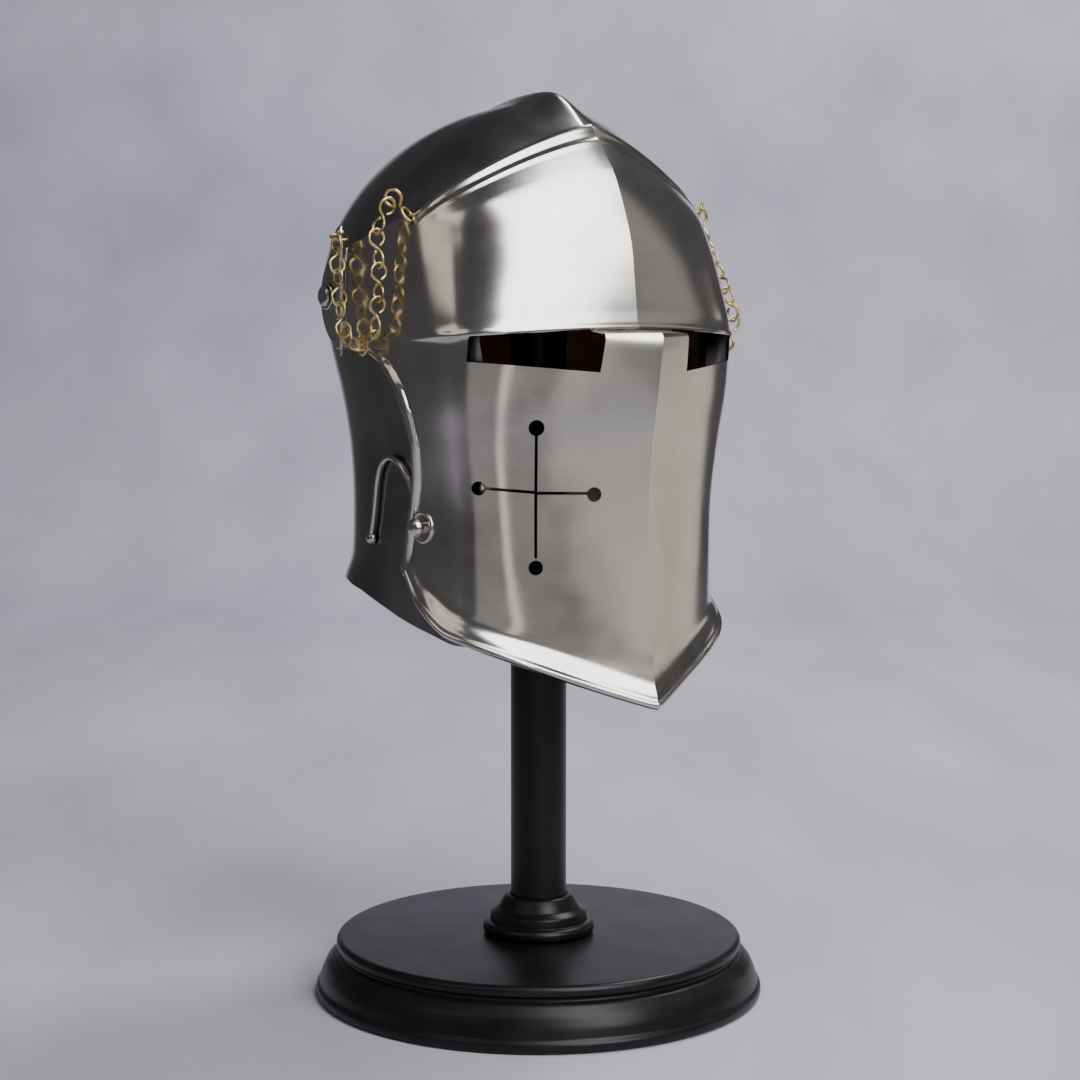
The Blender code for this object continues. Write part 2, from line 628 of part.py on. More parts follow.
# Hinges: a flat leaf turning on a domed rivet, and a pull-out pin through three knuckles.
def make_hinge(word, side, steel):
    edge = HINGE_Y + 2.7
    rear = ((46, 365.5), (56, 371), (62, 381), (64.5, 394), (61, 407), (53, 417.5), (46, 422.5))
    outline = [(edge, 365.5), *rear, (edge, 422.5), (edge, 406), (edge - 1.9, 406), (edge - 1.9, 382), (edge, 382)]
    leaf = slab(f"hinge_leaf_{word}", outline, HINGE_X - 3.0, HINGE_X - 1.5, side, steel)
    at = (0, PIVOT_Y, PIVOT_Z)
    lens = [(3.3, HINGE_X - 1.2), (7.5, HINGE_X - 1.2), (7.5, HINGE_X - 0.5), (3.3, HINGE_X)]
    turned(f"pivot_washer_{word}", lens, steel, 12, at, (side, 0, 0))
    hole = [(0, HINGE_X - 9), (3.3, HINGE_X - 9), (3.3, HINGE_X + 9), (0, HINGE_X + 9)]
    boolean(leaf, turned(f"cut_leaf_{side}", hole, None, 12, at, (side, 0, 0)))
    boolean(leaf, knuckle(f"join_leaf_{side}", 381, 407, side), "UNION")
    boolean(leaf, knuckle(f"cut_pin_leaf_{side}", 350, 440, side, 1.35))
    rivet = [(0, -5.7), (3, -5.7), (3, 0.3), (6, 0.3), (5.4, 1.8), (3.4, 2.9), (0, 3.4)]
    rivet = [(radius, HINGE_X + out) for radius, out in rivet]
    turned(f"pivot_rivet_{word}", rivet, steel, 12, at, (side, 0, 0))
    spin = [(0, 361.5), (1.05, 361.5), (1.05, 427.2), (2.9, 427.9), (2.4, 429.2), (0, 432.5)]
    turned(f"hinge_pin_{word}", spin, steel, 8, (HINGE_X * side, HINGE_Y, 0))


def end_ring():
    """The ring round a hinge pin's neck on the wearer's left: its points, and where the chain hooks on."""
    middle = np.array([HINGE_X + 1.5, HINGE_Y - 1.2, 425.2])
    lean = np.array([0, -0.954, -0.3])
    turns = np.arange(14) * math.pi / 7
    points = [middle + END_RING * (math.cos(a) * np.array([1, 0, 0]) + math.sin(a) * lean) for a in turns]
    hook = middle + (END_RING - (LINK_WIRE + LINK_PLAY) / 2) * (0.86 * np.array([1, 0, 0]) + 0.51 * lean)
    return points, hook


def settle(points, length):
    """Moves the inner points until every step of the chain has this length."""
    spots = np.array(points, float)
    for _ in range(600):
        for k in range(len(spots) - 1):
            step = spots[k + 1] - spots[k]
            far = np.linalg.norm(step)
            fix = step * (far - length) / far
            if k == 0:
                spots[1] -= fix
            elif k == len(spots) - 2:
                spots[k] += fix
            else:
                spots[k] += fix / 2
                spots[k + 1] -= fix / 2
    return spots


def link(name, middle, along, across, material):
    """One jack-chain link: a loop at each end of one wire, the second turned a quarter round."""
    along = along / np.linalg.norm(along)
    first = across - along * np.dot(across, along)
    first = first / np.linalg.norm(first)
    second = np.cross(along, first)
    half = (LINK_PITCH + LINK_WIRE + LINK_PLAY) / 2
    centre = half - LINK_LOOP
    path = []
    for degrees in range(22, 303, 40):
        a = math.radians(degrees)
        path.append(middle - along * (centre - LINK_LOOP * math.cos(a)) + first * LINK_LOOP * math.sin(a))
    path.append(np.array(middle, float))
    for degrees in range(302, 21, -40):
        a = math.radians(degrees)
        path.append(middle + along * (centre - LINK_LOOP * math.cos(a)) - second * LINK_LOOP * math.sin(a))
    wire(name, path, LINK_WIRE / 2, 5, material)


# Chains: brass jack chain from the visor's upper corner to the eye of each hinge pin.
def make_chain(word, side, drape, brass):
    spot, out = visor_frame(EYELET_Y, EYELET_Z, True)
    edge = np.array([0, 0.62, 0.78])
    edge = edge - out * np.dot(edge, out)
    edge = edge / np.linalg.norm(edge)
    loop = spot - out * STEEL / 2 + edge * 4.0 + out * 1.83
    along = edge * 0.75 + out * 0.66
    along = along / np.linalg.norm(along)
    centre = (LINK_PITCH + LINK_WIRE + LINK_PLAY) / 2 - LINK_LOOP
    middle = loop + along * centre
    link(f"chain_{word}_1", mirrored(middle, side), mirrored(along, side), mirrored(out, side), brass)
    down = np.cross(along, out)
    first = middle + along * centre - down * np.sign(down[2]) * (LINK_LOOP - (LINK_WIRE + LINK_PLAY) / 2)
    points, last = end_ring()
    wire(f"chain_{word}_ring", mirrored(points, side), LINK_WIRE / 2, 5, brass, True)
    joints = settle([first] + [(CHAIN_X, y, z) for y, z in drape] + [last], LINK_PITCH)
    for k in range(len(joints) - 1):
        along = joints[k + 1] - joints[k]
        middle = (joints[k + 1] + joints[k]) / 2
        link(f"chain_{word}_{k + 2}", mirrored(middle, side), mirrored(along, side), np.array([1.0, 0, 0]), brass)


def on_skull(y, z, off):
    """A point this far outside the skull's left side, at this y and height."""
    low, high = 0.2, 0.9
    for _ in range(30):
        share = (low + high) / 2
        if skull_point(share, z)[1] < y:
            low = share
        else:
            high = share
    return skull_point(low, z, -off)


# Latch: a bent spring wire riveted to the skull, and the domed pin that stands through the visor.
def make_latch(steel):
    bends = ((33, 259), (32, 264), (30, 271), (28, 279), (26.5, 286), (24.5, 293), (21, 300), (16, 304.5), (10, 306.5))
    bends += ((4, 305), (-1, 301), (-5, 295), (-8, 289))
    path = [side_of(on_skull(y, z, 1.25 + GAP + 0.6), -1) for y, z in bends]
    spring = wire("latch_spring", path, 1.25, 5, steel)
    spot = on_skull(SPRING_Y, SPRING_Z, 0)
    out = on_skull(SPRING_Y, SPRING_Z, 1) - spot
    dome = [(0, 0.7), (3.3, 0.7), (3.3, 2.4), (2.4, 4.0), (0, 4.7)]
    boolean(spring, turned("join_spring_rivet", dome, None, 10, side_of(spot, -1), side_of(out, -1)), "UNION")
    spot, out = visor_frame(LATCH_Y, LATCH_Z, False)
    pin = [(0, -3.3), (8.2, -3.3), (8.2, -2.5), (3.2, -2.5), (3.2, 3.6), (5.1, 4.0)]
    pin += [(5.2, 5.4), (4.4, 7.2), (2.6, 8.2), (0, 8.6)]
    turned("latch_pin", pin, steel, 12, side_of(spot, -1), side_of(out, -1))


def make_all():
    clear_scene()
    black = surface("black painted wood", (0.012, 0.012, 0.012), 0.4, 0)
    steel = surface("polished steel", (0.55, 0.54, 0.53), 0.28, 1)
    skull_steel = surface("darker polished steel", (0.42, 0.42, 0.42), 0.3, 1)
    brass = surface("brass wire", (0.62, 0.42, 0.14), 0.3, 1)
    leather = surface("brown leather", (0.12, 0.05, 0.03), 0.7, 0)
    make_stand(black)
    make_skull(skull_steel)
    make_lining(leather)
    make_visor(steel)
    make_latch(steel)
    for word, side, drape in (("right", -1, DRAPE_RIGHT), ("left", 1, DRAPE_LEFT)):
        make_hinge(word, side, steel)
        make_chain(word, side, drape, brass)


make_all()
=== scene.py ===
import math

import bmesh
import bpy
import numpy as np
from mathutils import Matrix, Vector


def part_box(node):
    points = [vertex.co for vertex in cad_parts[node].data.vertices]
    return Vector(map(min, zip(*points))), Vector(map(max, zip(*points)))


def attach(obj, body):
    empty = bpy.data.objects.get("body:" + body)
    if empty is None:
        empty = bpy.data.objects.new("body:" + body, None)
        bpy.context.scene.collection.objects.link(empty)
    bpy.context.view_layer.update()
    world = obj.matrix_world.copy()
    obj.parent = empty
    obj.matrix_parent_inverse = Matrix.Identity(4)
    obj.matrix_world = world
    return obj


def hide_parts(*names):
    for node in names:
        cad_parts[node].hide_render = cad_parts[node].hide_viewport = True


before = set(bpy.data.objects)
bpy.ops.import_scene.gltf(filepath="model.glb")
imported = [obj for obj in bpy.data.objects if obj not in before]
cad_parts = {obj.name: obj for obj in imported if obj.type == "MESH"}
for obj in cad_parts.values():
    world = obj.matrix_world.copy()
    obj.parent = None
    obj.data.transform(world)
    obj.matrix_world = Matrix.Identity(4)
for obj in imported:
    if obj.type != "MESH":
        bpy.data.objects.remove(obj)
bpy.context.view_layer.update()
MM = 0.001


# Stand
# A turned wooden foot, a collar and a round post that carry the helmet from below.
# Lathe-turned beech, filled, and painted satin black; the collar is pressed over the post.
def linear(code):
    """An sRGB hex colour as linear values."""
    parts = [int(code[i : i + 2], 16) / 255 for i in (1, 3, 5)]
    return tuple(c / 12.92 if c <= 0.04045 else ((c + 0.055) / 1.055) ** 2.4 for c in parts)


def node(tree, kind, settings=None, links=None):
    """A shader node with its settings, and its inputs linked from sockets or set to values."""
    made = tree.nodes.new(kind)
    for name, value in (settings or {}).items():
        setattr(made, name, value)
    for name, value in (links or {}).items():
        if isinstance(value, bpy.types.NodeSocket):
            tree.links.new(value, made.inputs[name])
        else:
            made.inputs[name].default_value = value
    return made


def finish_of(name, metallic, rough, colour):
    """A new material with these values on its shader: the material, its node tree and the shader."""
    made = bpy.data.materials.new(name)
    made.use_nodes = True
    shader = made.node_tree.nodes["Principled BSDF"]
    shader.inputs["Base Color"].default_value = (*colour, 1)
    shader.inputs["Metallic"].default_value = metallic
    shader.inputs["Roughness"].default_value = rough
    return made, made.node_tree, shader


def shades(tree, factor, stops):
    """A colour ramp over this factor through (place, linear colour) stops."""
    ramp = node(tree, "ShaderNodeValToRGB", None, {"Fac": factor})
    bands = ramp.color_ramp.elements
    while len(bands) < len(stops):
        bands.new(0.5)
    for band, (place, colour) in zip(bands, stops):
        band.position = place
        band.color = (*colour, 1)
    return ramp.outputs["Color"]


def turned(name, profile, material, centre=(0, 0, 0), axis=(0, 0, 1), sides=96, ring=False):
    """A lathe-turned piece: profile rows (radius, distance along the axis) in millimetres, spun about it."""
    bm = bmesh.new()
    verts = [bm.verts.new((r * MM, 0, h * MM)) for r, h in profile]
    edges = [bm.edges.new(pair) for pair in zip(verts, verts[1:])]
    if ring:
        edges.append(bm.edges.new((verts[-1], verts[0])))
    bmesh.ops.spin(
        bm, geom=verts + edges, cent=(0, 0, 0), axis=(0, 0, 1), dvec=(0, 0, 0),
        angle=2 * math.pi, steps=sides, use_merge=True, use_duplicate=False,
    )
    bmesh.ops.remove_doubles(bm, verts=bm.verts[:], dist=1e-6)
    lean = Vector((0, 0, 1)).rotation_difference(Vector(axis))
    for vert in bm.verts:
        vert.co = lean @ vert.co + Vector(centre) * MM
    return as_piece(bm, name, material)


def as_piece(bm, name, material, crease=32):
    """The finished mesh as an object: faces made consistent, smooth, and sharp where they turn more
    than the crease."""
    bmesh.ops.recalc_face_normals(bm, faces=bm.faces[:])
    mesh = bpy.data.meshes.new(name)
    bm.to_mesh(mesh)
    bm.free()
    mesh.polygons.foreach_set("use_smooth", [True] * len(mesh.polygons))
    mesh.set_sharp_from_angle(angle=math.radians(crease))
    mesh.materials.append(material)
    made = bpy.data.objects.new(name, mesh)
    bpy.context.scene.collection.objects.link(made)
    return made


def stands_for(piece, body, slot, *nodes):
    """Rides the piece on its body and puts it in place of these CAD nodes. The slot is not used."""
    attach(piece, body)
    if nodes:
        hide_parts(*nodes)


def rounded(profile, radius, steps=4):
    """The profile with each inner corner rounded off by this much, in millimetres."""
    points = [np.array(p, float) for p in profile]
    made = [points[0]]
    for before, corner, after in zip(points, points[1:], points[2:]):
        back = before - corner
        ahead = after - corner
        reach = min(radius, 0.45 * np.linalg.norm(back), 0.45 * np.linalg.norm(ahead))
        start = corner + back / np.linalg.norm(back) * reach
        end = corner + ahead / np.linalg.norm(ahead) * reach
        for k in range(steps + 1):
            t = k / steps
            made.append((1 - t) ** 2 * start + 2 * t * (1 - t) * corner + t**2 * end)
    made.append(points[-1])
    return [tuple(p) for p in made]


def painted_wood():
    """Satin black paint brushed on turned beech: soft highlights with faint lathe rings and dust."""
    made, tree, shader = finish_of("satin black paint on beech", 0.0, 0.34, linear("#0e0e0f"))
    shader.inputs["Specular IOR Level"].default_value = 0.3
    place = node(tree, "ShaderNodeTexCoord").outputs["Object"]
    grain = node(tree, "ShaderNodeMapping", None, {"Vector": place, "Scale": (90, 90, 900)})
    lathe = node(
        tree, "ShaderNodeTexNoise", None, {"Vector": grain.outputs["Vector"], "Scale": 1.0, "Detail": 4.0}
    )
    dust = node(
        tree, "ShaderNodeTexNoise", None, {"Vector": place, "Scale": 38.0, "Detail": 8.0, "Roughness": 0.65}
    )
    tree.links.new(
        shades(tree, dust.outputs["Fac"], [(0.35, linear("#0a0a0b")), (0.72, linear("#161617"))]),
        shader.inputs["Base Color"],
    )
    gloss = node(
        tree, "ShaderNodeMapRange", None, {"Value": dust.outputs["Fac"], "To Min": 0.26, "To Max": 0.46}
    )
    tree.links.new(gloss.outputs["Result"], shader.inputs["Roughness"])
    relief = node(
        tree, "ShaderNodeBump", None, {"Height": lathe.outputs["Fac"], "Strength": 0.12, "Distance": 0.0004}
    )
    tree.links.new(relief.outputs["Normal"], shader.inputs["Normal"])
    return made


# The foot keeps 0.02 mm inside the CAD's box.
BASE_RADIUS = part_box("stand_base")[1][0] / MM - 0.02
BASE_TOP_RADIUS = 114.0
BASE_HEIGHT = 33.0
COLLAR_RADIUS = 31.6
POST_RADIUS = 15.8
POST_TOP = 450.0
GAP = 0.3

black_paint = painted_wood()
moulding = [(0, 0), (BASE_RADIUS - 2, 0), (BASE_RADIUS, 1.6), (BASE_RADIUS, 5.4), (BASE_RADIUS - 2, 7.4)]
moulding += [(BASE_RADIUS - 2.4, 9), (BASE_RADIUS - 3.4, 13), (BASE_RADIUS - 6, 18.5), (BASE_RADIUS - 10.4, 23.4)]
moulding += [(BASE_RADIUS - 12.6, 24.4), (BASE_TOP_RADIUS - 0.6, 25), (BASE_TOP_RADIUS - 0.6, 26.4)]
moulding += [(BASE_TOP_RADIUS + 1.2, 27.6), (BASE_TOP_RADIUS + 1.2, 31)]
moulding += [(BASE_TOP_RADIUS - 1, BASE_HEIGHT), (0, BASE_HEIGHT)]
foot = turned("turned_foot", rounded(moulding, 1.6), black_paint, sides=144)
stands_for(foot, "helmet", "black_wood", "stand_base")

low = BASE_HEIGHT + GAP
bore = POST_RADIUS + GAP
steps = [(bore, low), (COLLAR_RADIUS - 1.2, low), (COLLAR_RADIUS, low + 1.6), (COLLAR_RADIUS, low + 4.4)]
steps += [(COLLAR_RADIUS - 1.4, low + 6.4), (COLLAR_RADIUS - 4, low + 7), (COLLAR_RADIUS - 4, low + 8.2)]
steps += [(COLLAR_RADIUS - 4.4, low + 12), (COLLAR_RADIUS - 8.6, low + 14.6)]
steps += [(COLLAR_RADIUS - 10.6, low + 18.4)]
steps += [(COLLAR_RADIUS - 12.8, low + 21.4), (bore + 0.6, low + 21.9), (bore, low + 21.4)]
collar = turned("turned_collar", rounded(steps, 0.9), black_paint, ring=True)
stands_for(collar, "helmet", "black_wood", "stand_collar")

post = turned(
    "post", [(0, low), (POST_RADIUS, low), (POST_RADIUS, POST_TOP), (0, POST_TOP)], black_paint, sides=64
)
stands_for(post, "helmet", "black_wood", "stand_post")
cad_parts["stand_head"].data.materials.clear()
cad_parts["stand_head"].data.materials.append(black_paint)


# Skull
# The bowl of the helmet, open at the face, with a low crest from brow to nape.
# Raised from one sheet of 1.6 mm carbon steel, planished and polished, then darkened by handling.
STEEL = 1.6
# The bowl's outside keeps this far inside the CAD's, to stay in its box.
SKULL_INSET = 0.17
DOME_BASE = 398.0
DOME_TOP = 500.0
APEX_Y = -3.0
CREST = 6.5
CREST_WIDTH = 11.0
PIVOT_Y = 57.0
PIVOT_Z = 394.0
PIVOT_HOLE = 3.3
PIN_ROOM = 9.6

# Level sections of the skull: height, side width, start and end of the flat side, back,
# front, then the front curve's angle, its length and the side's forward pull.
SKULL = (
    (200, 90, 15, 26, 121, -84, 11, 80, 52),
    (235, 89.5, 15, 26, 121, -84, 11, 80, 52),
    (265, 88.5, 15, 26, 119, -84, 11, 80, 52),
    (290, 89, 15, 26, 118, -84, 11, 80, 52),
    (314, 91, 15, 26, 119, -84, 11, 82, 54),
    (340, 94.5, 15, 28, 123, -84, 11, 84, 58),
    (368, 98.5, 15, 34, 130, -84, 11, 85, 58),
    (398, 100.5, 15, 39, 135, -79.5, 12, 80, 56),
)
# The lower rim's height at each y, from the face opening to the nape, and where the nape flares out.
SKULL_RIM = ((-60, 207), (-35, 208), (-22, 212.5), (6, 219.5), (25, 225), (44, 231.5), (66, 235))
NAPE_TOP = 250
NAPE_FLARE = 4.0


def between(start, leave, end, arrive, t, span=1.0):
    """The point this far along a smooth curve, given by its two ends and its slope at each."""
    a = 2 * t**3 - 3 * t**2 + 1
    b = t**3 - 2 * t**2 + t
    c = 3 * t**2 - 2 * t**3
    d = t**3 - t**2
    return a * start + b * span * leave + c * end + d * span * arrive


def table_at(table, height):
    """A table's other columns at this height, by a smooth curve through its rows."""
    rows = np.array(table, float)
    keys = rows[:, 0]
    values = rows[:, 1:]
    slopes = np.gradient(values, keys, axis=0)
    i = int(np.clip(np.searchsorted(keys, height) - 1, 0, len(keys) - 2))
    span = keys[i + 1] - keys[i]
    t = min(max((height - keys[i]) / span, 0.0), 1.0)
    return between(values[i], slopes[i], values[i + 1], slopes[i + 1], t, span)


def curve(ends, count):
    """Points on a cubic curve given by its four controls."""
    t = np.linspace(0, 1, count)[:, None]
    p = np.array(ends, float)
    s = 1 - t
    return s**3 * p[0] + 3 * s**2 * t * p[1] + 3 * s * t**2 * p[2] + t**3 * p[3]


def ease(value, low, high):
    """A smooth step from 0 to 1 as the value goes from low to high."""
    t = min(max((value - low) / (high - low), 0.0), 1.0)
    return t * t * (3 - 2 * t)


def at_share(line, share):
    """The point this share of the way along a line."""
    steps = np.linalg.norm(np.diff(line, axis=0), axis=1)
    along = np.concatenate([[0], np.cumsum(steps)])
    want = share * along[-1]
    return np.array([np.interp(want, along, line[:, k]) for k in range(line.shape[1])])


def skull_section(height):
    """Half of the skull's outline at this height, as (x, y) from the front to the back."""
    shrink = 1.0
    if height > DOME_BASE:
        rise = (height - DOME_BASE) / (DOME_TOP - DOME_BASE)
        shrink = math.sqrt(max(1 - rise**1.85, 0.0))
    row = table_at(SKULL, min(height, DOME_BASE))
    wide, start, end, back, front, angle, length, pull = row
    wide = wide * shrink
    start, end, back, front = (APEX_Y + (y - APEX_Y) * shrink for y in (start, end, back, front))
    point = 1 - shrink
    angle = math.radians(angle + 6 * point)
    length = length * shrink * (1 - 0.9 * point)
    pull = pull * shrink * (1 - 0.25 * point)
    ahead = (length * math.cos(angle), front + length * math.sin(angle))
    fore = curve([(0, front), ahead, (wide, start - pull), (wide, start)], 90)
    rear = curve([(wide, end), (wide, end + 0.56 * (back - end)), (0.58 * wide, back), (0, back)], 90)
    return np.concatenate([fore, rear])


def skull_point(share, height, inset, section=None):
    """A point this far inside the skull's outside. Share runs from front to back."""
    x, y = at_share(skull_section(height) if section is None else section, share)
    middle = np.array([0.0, 20.0 - 15 * ease(height, DOME_BASE, DOME_TOP), min(height, DOME_BASE)])
    point = np.array([x, y, height])
    out = point - middle
    out = out / np.linalg.norm(out)
    over = ease(height, 300, DOME_BASE) if y > 0 else ease(y, -40, -12)
    point = point + out * CREST * over * math.exp(-((x / CREST_WIDTH) ** 2))
    if y > 0 and height < NAPE_TOP:
        flare = NAPE_FLARE * ease(y, 20, 60) * ease(NAPE_TOP - height, 0, 18)
        point = point + np.array([out[0], out[1], 0]) * flare
    return point - out * inset


def skull_bottom(y):
    """The lower rim's height at this y."""
    return float(np.interp(y, [r[0] for r in SKULL_RIM], [r[1] for r in SKULL_RIM]))


def bowl(name, material, columns, rows, bottom, outside, inside):
    """A closed bowl between two depths inside the skull's outside, from its rim to the crown."""
    bm = bmesh.new()
    bmesh.ops.create_grid(bm, x_segments=columns, y_segments=rows, size=0.5)
    bm.verts.ensure_lookup_table()
    depth = bm.verts.layers.float_vector.new("inner wall")
    for r in range(rows + 1):
        v = r / rows
        if v < 0.55:
            height = bottom + (DOME_BASE - bottom) * v / 0.55
        else:
            height = DOME_BASE + (DOME_TOP - DOME_BASE) * math.sin((v - 0.55) / 0.45 * math.pi / 2)
        plain = skull_section(height)
        for c in range(columns + 1):
            turn = c / columns * 2
            share = turn if turn <= 1 else 2 - turn
            side = np.array([1 if turn <= 1 else -1, 1, 1])
            level = height
            section = plain
            if bottom < NAPE_TOP and v < 0.35:
                for _ in range(3):
                    y = skull_point(share, level, outside, section)[1]
                    level = height + (skull_bottom(y) - bottom) * (1 - v / 0.35) ** 1.5
                section = skull_section(level)
            vert = bm.verts[r * (columns + 1) + c]
            vert.co = skull_point(share, level, outside, section) * side * MM
            vert[depth] = skull_point(share, level, inside, section) * side * MM
    bmesh.ops.remove_doubles(bm, verts=bm.verts[:], dist=1e-6)
    made = bmesh.ops.extrude_face_region(bm, geom=bm.faces[:], use_keep_orig=True)
    for item in made["geom"]:
        if isinstance(item, bmesh.types.BMVert):
            item.co = item[depth]
    bmesh.ops.remove_doubles(bm, verts=bm.verts[:], dist=1e-6)
    return as_piece(bm, name, material)


def block(outline, near, far, turn=0.0, about=(0, 0)):
    """A hidden cutting block through the outline (x, z), from y = near to y = far, turned upright."""
    bm = bmesh.new()
    face = bm.faces.new([bm.verts.new((x * MM, near * MM, z * MM)) for x, z in outline])
    made = bmesh.ops.extrude_face_region(bm, geom=[face], use_keep_orig=True)
    for item in made["geom"]:
        if isinstance(item, bmesh.types.BMVert):
            item.co.y = far * MM
    for vert in bm.verts:
        x, y = vert.co.x, vert.co.y
        vert.co.x = x * math.cos(turn) - y * math.sin(turn) + about[0] * MM
        vert.co.y = x * math.sin(turn) + y * math.cos(turn) + about[1] * MM
    return as_piece(bm, "cutting_block", black_paint)


def cut(piece, cutters, crease=32, ridged=False):
    """Cuts these blocks from the piece for good, and removes them. A ridged piece keeps its middle line
    sharp."""
    for cutter in cutters:
        step = piece.modifiers.new("cut", "BOOLEAN")
        step.operation = "DIFFERENCE"
        step.solver = "EXACT"
        step.object = cutter
    bpy.context.view_layer.update()
    graph = bpy.context.evaluated_depsgraph_get()
    mesh = bpy.data.meshes.new_from_object(piece.evaluated_get(graph))
    material = piece.data.materials[0]
    piece.modifiers.clear()
    piece.data = mesh
    mesh.materials.clear()
    mesh.materials.append(material)
    mesh.polygons.foreach_set("material_index", [0] * len(mesh.polygons))
    mesh.polygons.foreach_set("use_smooth", [True] * len(mesh.polygons))
    mesh.set_sharp_from_angle(angle=math.radians(crease))
    for edge in mesh.edges:
        if all(abs(mesh.vertices[i].co.x) < 1e-6 for i in edge.vertices):
            edge.use_edge_sharp = ridged or edge.use_edge_sharp
    for cutter in cutters:
        bpy.data.objects.remove(cutter, do_unlink=True)


def polished_steel(name, bright, dull, rough, waving):
    """Carbon steel brushed level round the form and then polished: it smears reflections upright.
    The strokes are drawn 0.6 mm wide, coarser than real ones, and planishing waves are about 45 mm apart."""
    made, tree, shader = finish_of(name, 1.0, rough, linear(bright))
    shader.inputs["Anisotropic"].default_value = 0.55
    shader.inputs["Anisotropic Rotation"].default_value = 0.25
    place = node(tree, "ShaderNodeTexCoord").outputs["Object"]
    around = node(tree, "ShaderNodeTangent", {"direction_type": "RADIAL", "axis": "Z"})
    tree.links.new(around.outputs["Tangent"], shader.inputs["Tangent"])
    level = node(tree, "ShaderNodeMapping", None, {"Vector": place, "Scale": (28, 28, 1650)}).outputs["Vector"]
    strokes = node(
        tree, "ShaderNodeTexNoise", None, {"Vector": level, "Scale": 1.0, "Detail": 1.5}
    ).outputs["Fac"]
    waves = node(
        tree, "ShaderNodeTexNoise", None, {"Vector": place, "Scale": 22.0, "Detail": 0.6}
    ).outputs["Fac"]
    haze = node(
        tree, "ShaderNodeTexNoise", None, {"Vector": place, "Scale": 18.0, "Detail": 6.0, "Roughness": 0.6}
    ).outputs["Fac"]
    pits = node(tree, "ShaderNodeTexVoronoi", None, {"Vector": place, "Scale": 62.0}).outputs["Distance"]
    spots = node(tree, "ShaderNodeMapRange", None, {"Value": pits, "From Min": 0.014, "From Max": 0.034})
    worn = node(
        tree, "ShaderNodeMath", {"operation": "MULTIPLY_ADD"}, {0: strokes, 1: 0.16, 2: haze}
    ).outputs[0]
    clean = shades(tree, worn, [(0.4, linear(dull)), (0.66, linear(bright)), (1.0, linear(bright))])
    marked = node(
        tree, "ShaderNodeMix", {"data_type": "RGBA"},
        {"Factor": spots.outputs["Result"], 6: (*linear("#4c4845"), 1), 7: clean},
    )
    tree.links.new(marked.outputs[2], shader.inputs["Base Color"])
    gloss = node(
        tree, "ShaderNodeMapRange", None,
        {"Value": worn, "From Min": 0.35, "From Max": 0.8, "To Min": rough - 0.03, "To Max": rough + 0.04},
    )
    tree.links.new(gloss.outputs["Result"], shader.inputs["Roughness"])
    soft = node(tree, "ShaderNodeBump", None, {"Height": waves, "Strength": waving, "Distance": 0.0011})
    fine = node(
        tree, "ShaderNodeBump", None,
        {"Height": strokes, "Strength": 0.04, "Distance": 0.0001, "Normal": soft.outputs["Normal"]},
    )
    tree.links.new(fine.outputs["Normal"], shader.inputs["Normal"])
    return made


skull_steel = polished_steel("planished steel, handled", "#a09e9c", "#868483", 0.22, 0.12)
skull = bowl("skull_bowl", skull_steel, 176, 84, 207.0, SKULL_INSET, STEEL)
arch = [(50, 190), (55, 240), (64, 300), (74, 345), (77, 370), (72, 392), (58, 409), (36, 420), (12, 425)]
arch = [(-50, 190)] + arch + [(-x, z) for x, z in arch[:0:-1]]


def rod(radius, reach, centre, axis, sides):
    """A hidden round cutter through this centre, reaching this far each way along its axis."""
    profile = [(0, -reach), (radius, -reach), (radius, reach), (0, reach)]
    return turned("cutting_rod", profile, black_paint, centre, axis, sides)


# The second rod marks where the press pin goes in. Its faces turn inward, so the wall stays whole.
cut(skull, [
    block(arch, -160, -20),
    rod(PIVOT_HOLE, 130, (0, PIVOT_Y, PIVOT_Z), (1, 0, 0), 24),
    rod(PIN_ROOM, 15, (-88, -21.6, 270.8), (-0.996, -0.084, -0.02), 48),
])
stands_for(skull, "helmet", "skull_steel", "skull")


# Lining
# The cap that the head rests in, glued inside the crown and seen through the eye slots.
# Vegetable-tanned leather about 2 mm thick, brown and scuffed.
LINING_BOTTOM = 306.0
LINING_AIR = 2.4
LINING_DEPTH = STEEL + LINING_AIR
LINING = 2.0


def tanned_leather():
    """Vegetable-tanned leather: pebbled grain about 1 mm across, in patches of darker and lighter brown."""
    made, tree, shader = finish_of("brown vegetable-tanned leather", 0.0, 0.62, linear("#84543f"))
    place = node(tree, "ShaderNodeTexCoord").outputs["Object"]
    grain = node(tree, "ShaderNodeTexVoronoi", None, {"Vector": place, "Scale": 900.0}).outputs["Distance"]
    patch = node(
        tree, "ShaderNodeTexNoise", None, {"Vector": place, "Scale": 42.0, "Detail": 6.0}
    ).outputs["Fac"]
    tree.links.new(
        shades(tree, patch, [(0.3, linear("#5b382b")), (0.55, linear("#8a5a45")), (0.8, linear("#a8745b"))]),
        shader.inputs["Base Color"],
    )
    relief = node(tree, "ShaderNodeBump", None, {"Height": grain, "Strength": 0.35, "Distance": 0.0004})
    tree.links.new(relief.outputs["Normal"], shader.inputs["Normal"])
    return made


leather = tanned_leather()
lining = bowl("lining_cap", leather, 96, 40, LINING_BOTTOM, LINING_DEPTH, LINING_DEPTH + LINING)
front = [(70, 290), (80, 345), (82, 370), (77, 395), (62, 414), (38, 426), (12, 431)]
front = [(-70, 290)] + front + [(-x, z) for x, z in front[:0:-1]]
cut(lining, [block(front, -160, -20)])
stands_for(lining, "helmet", "leather", "lining")


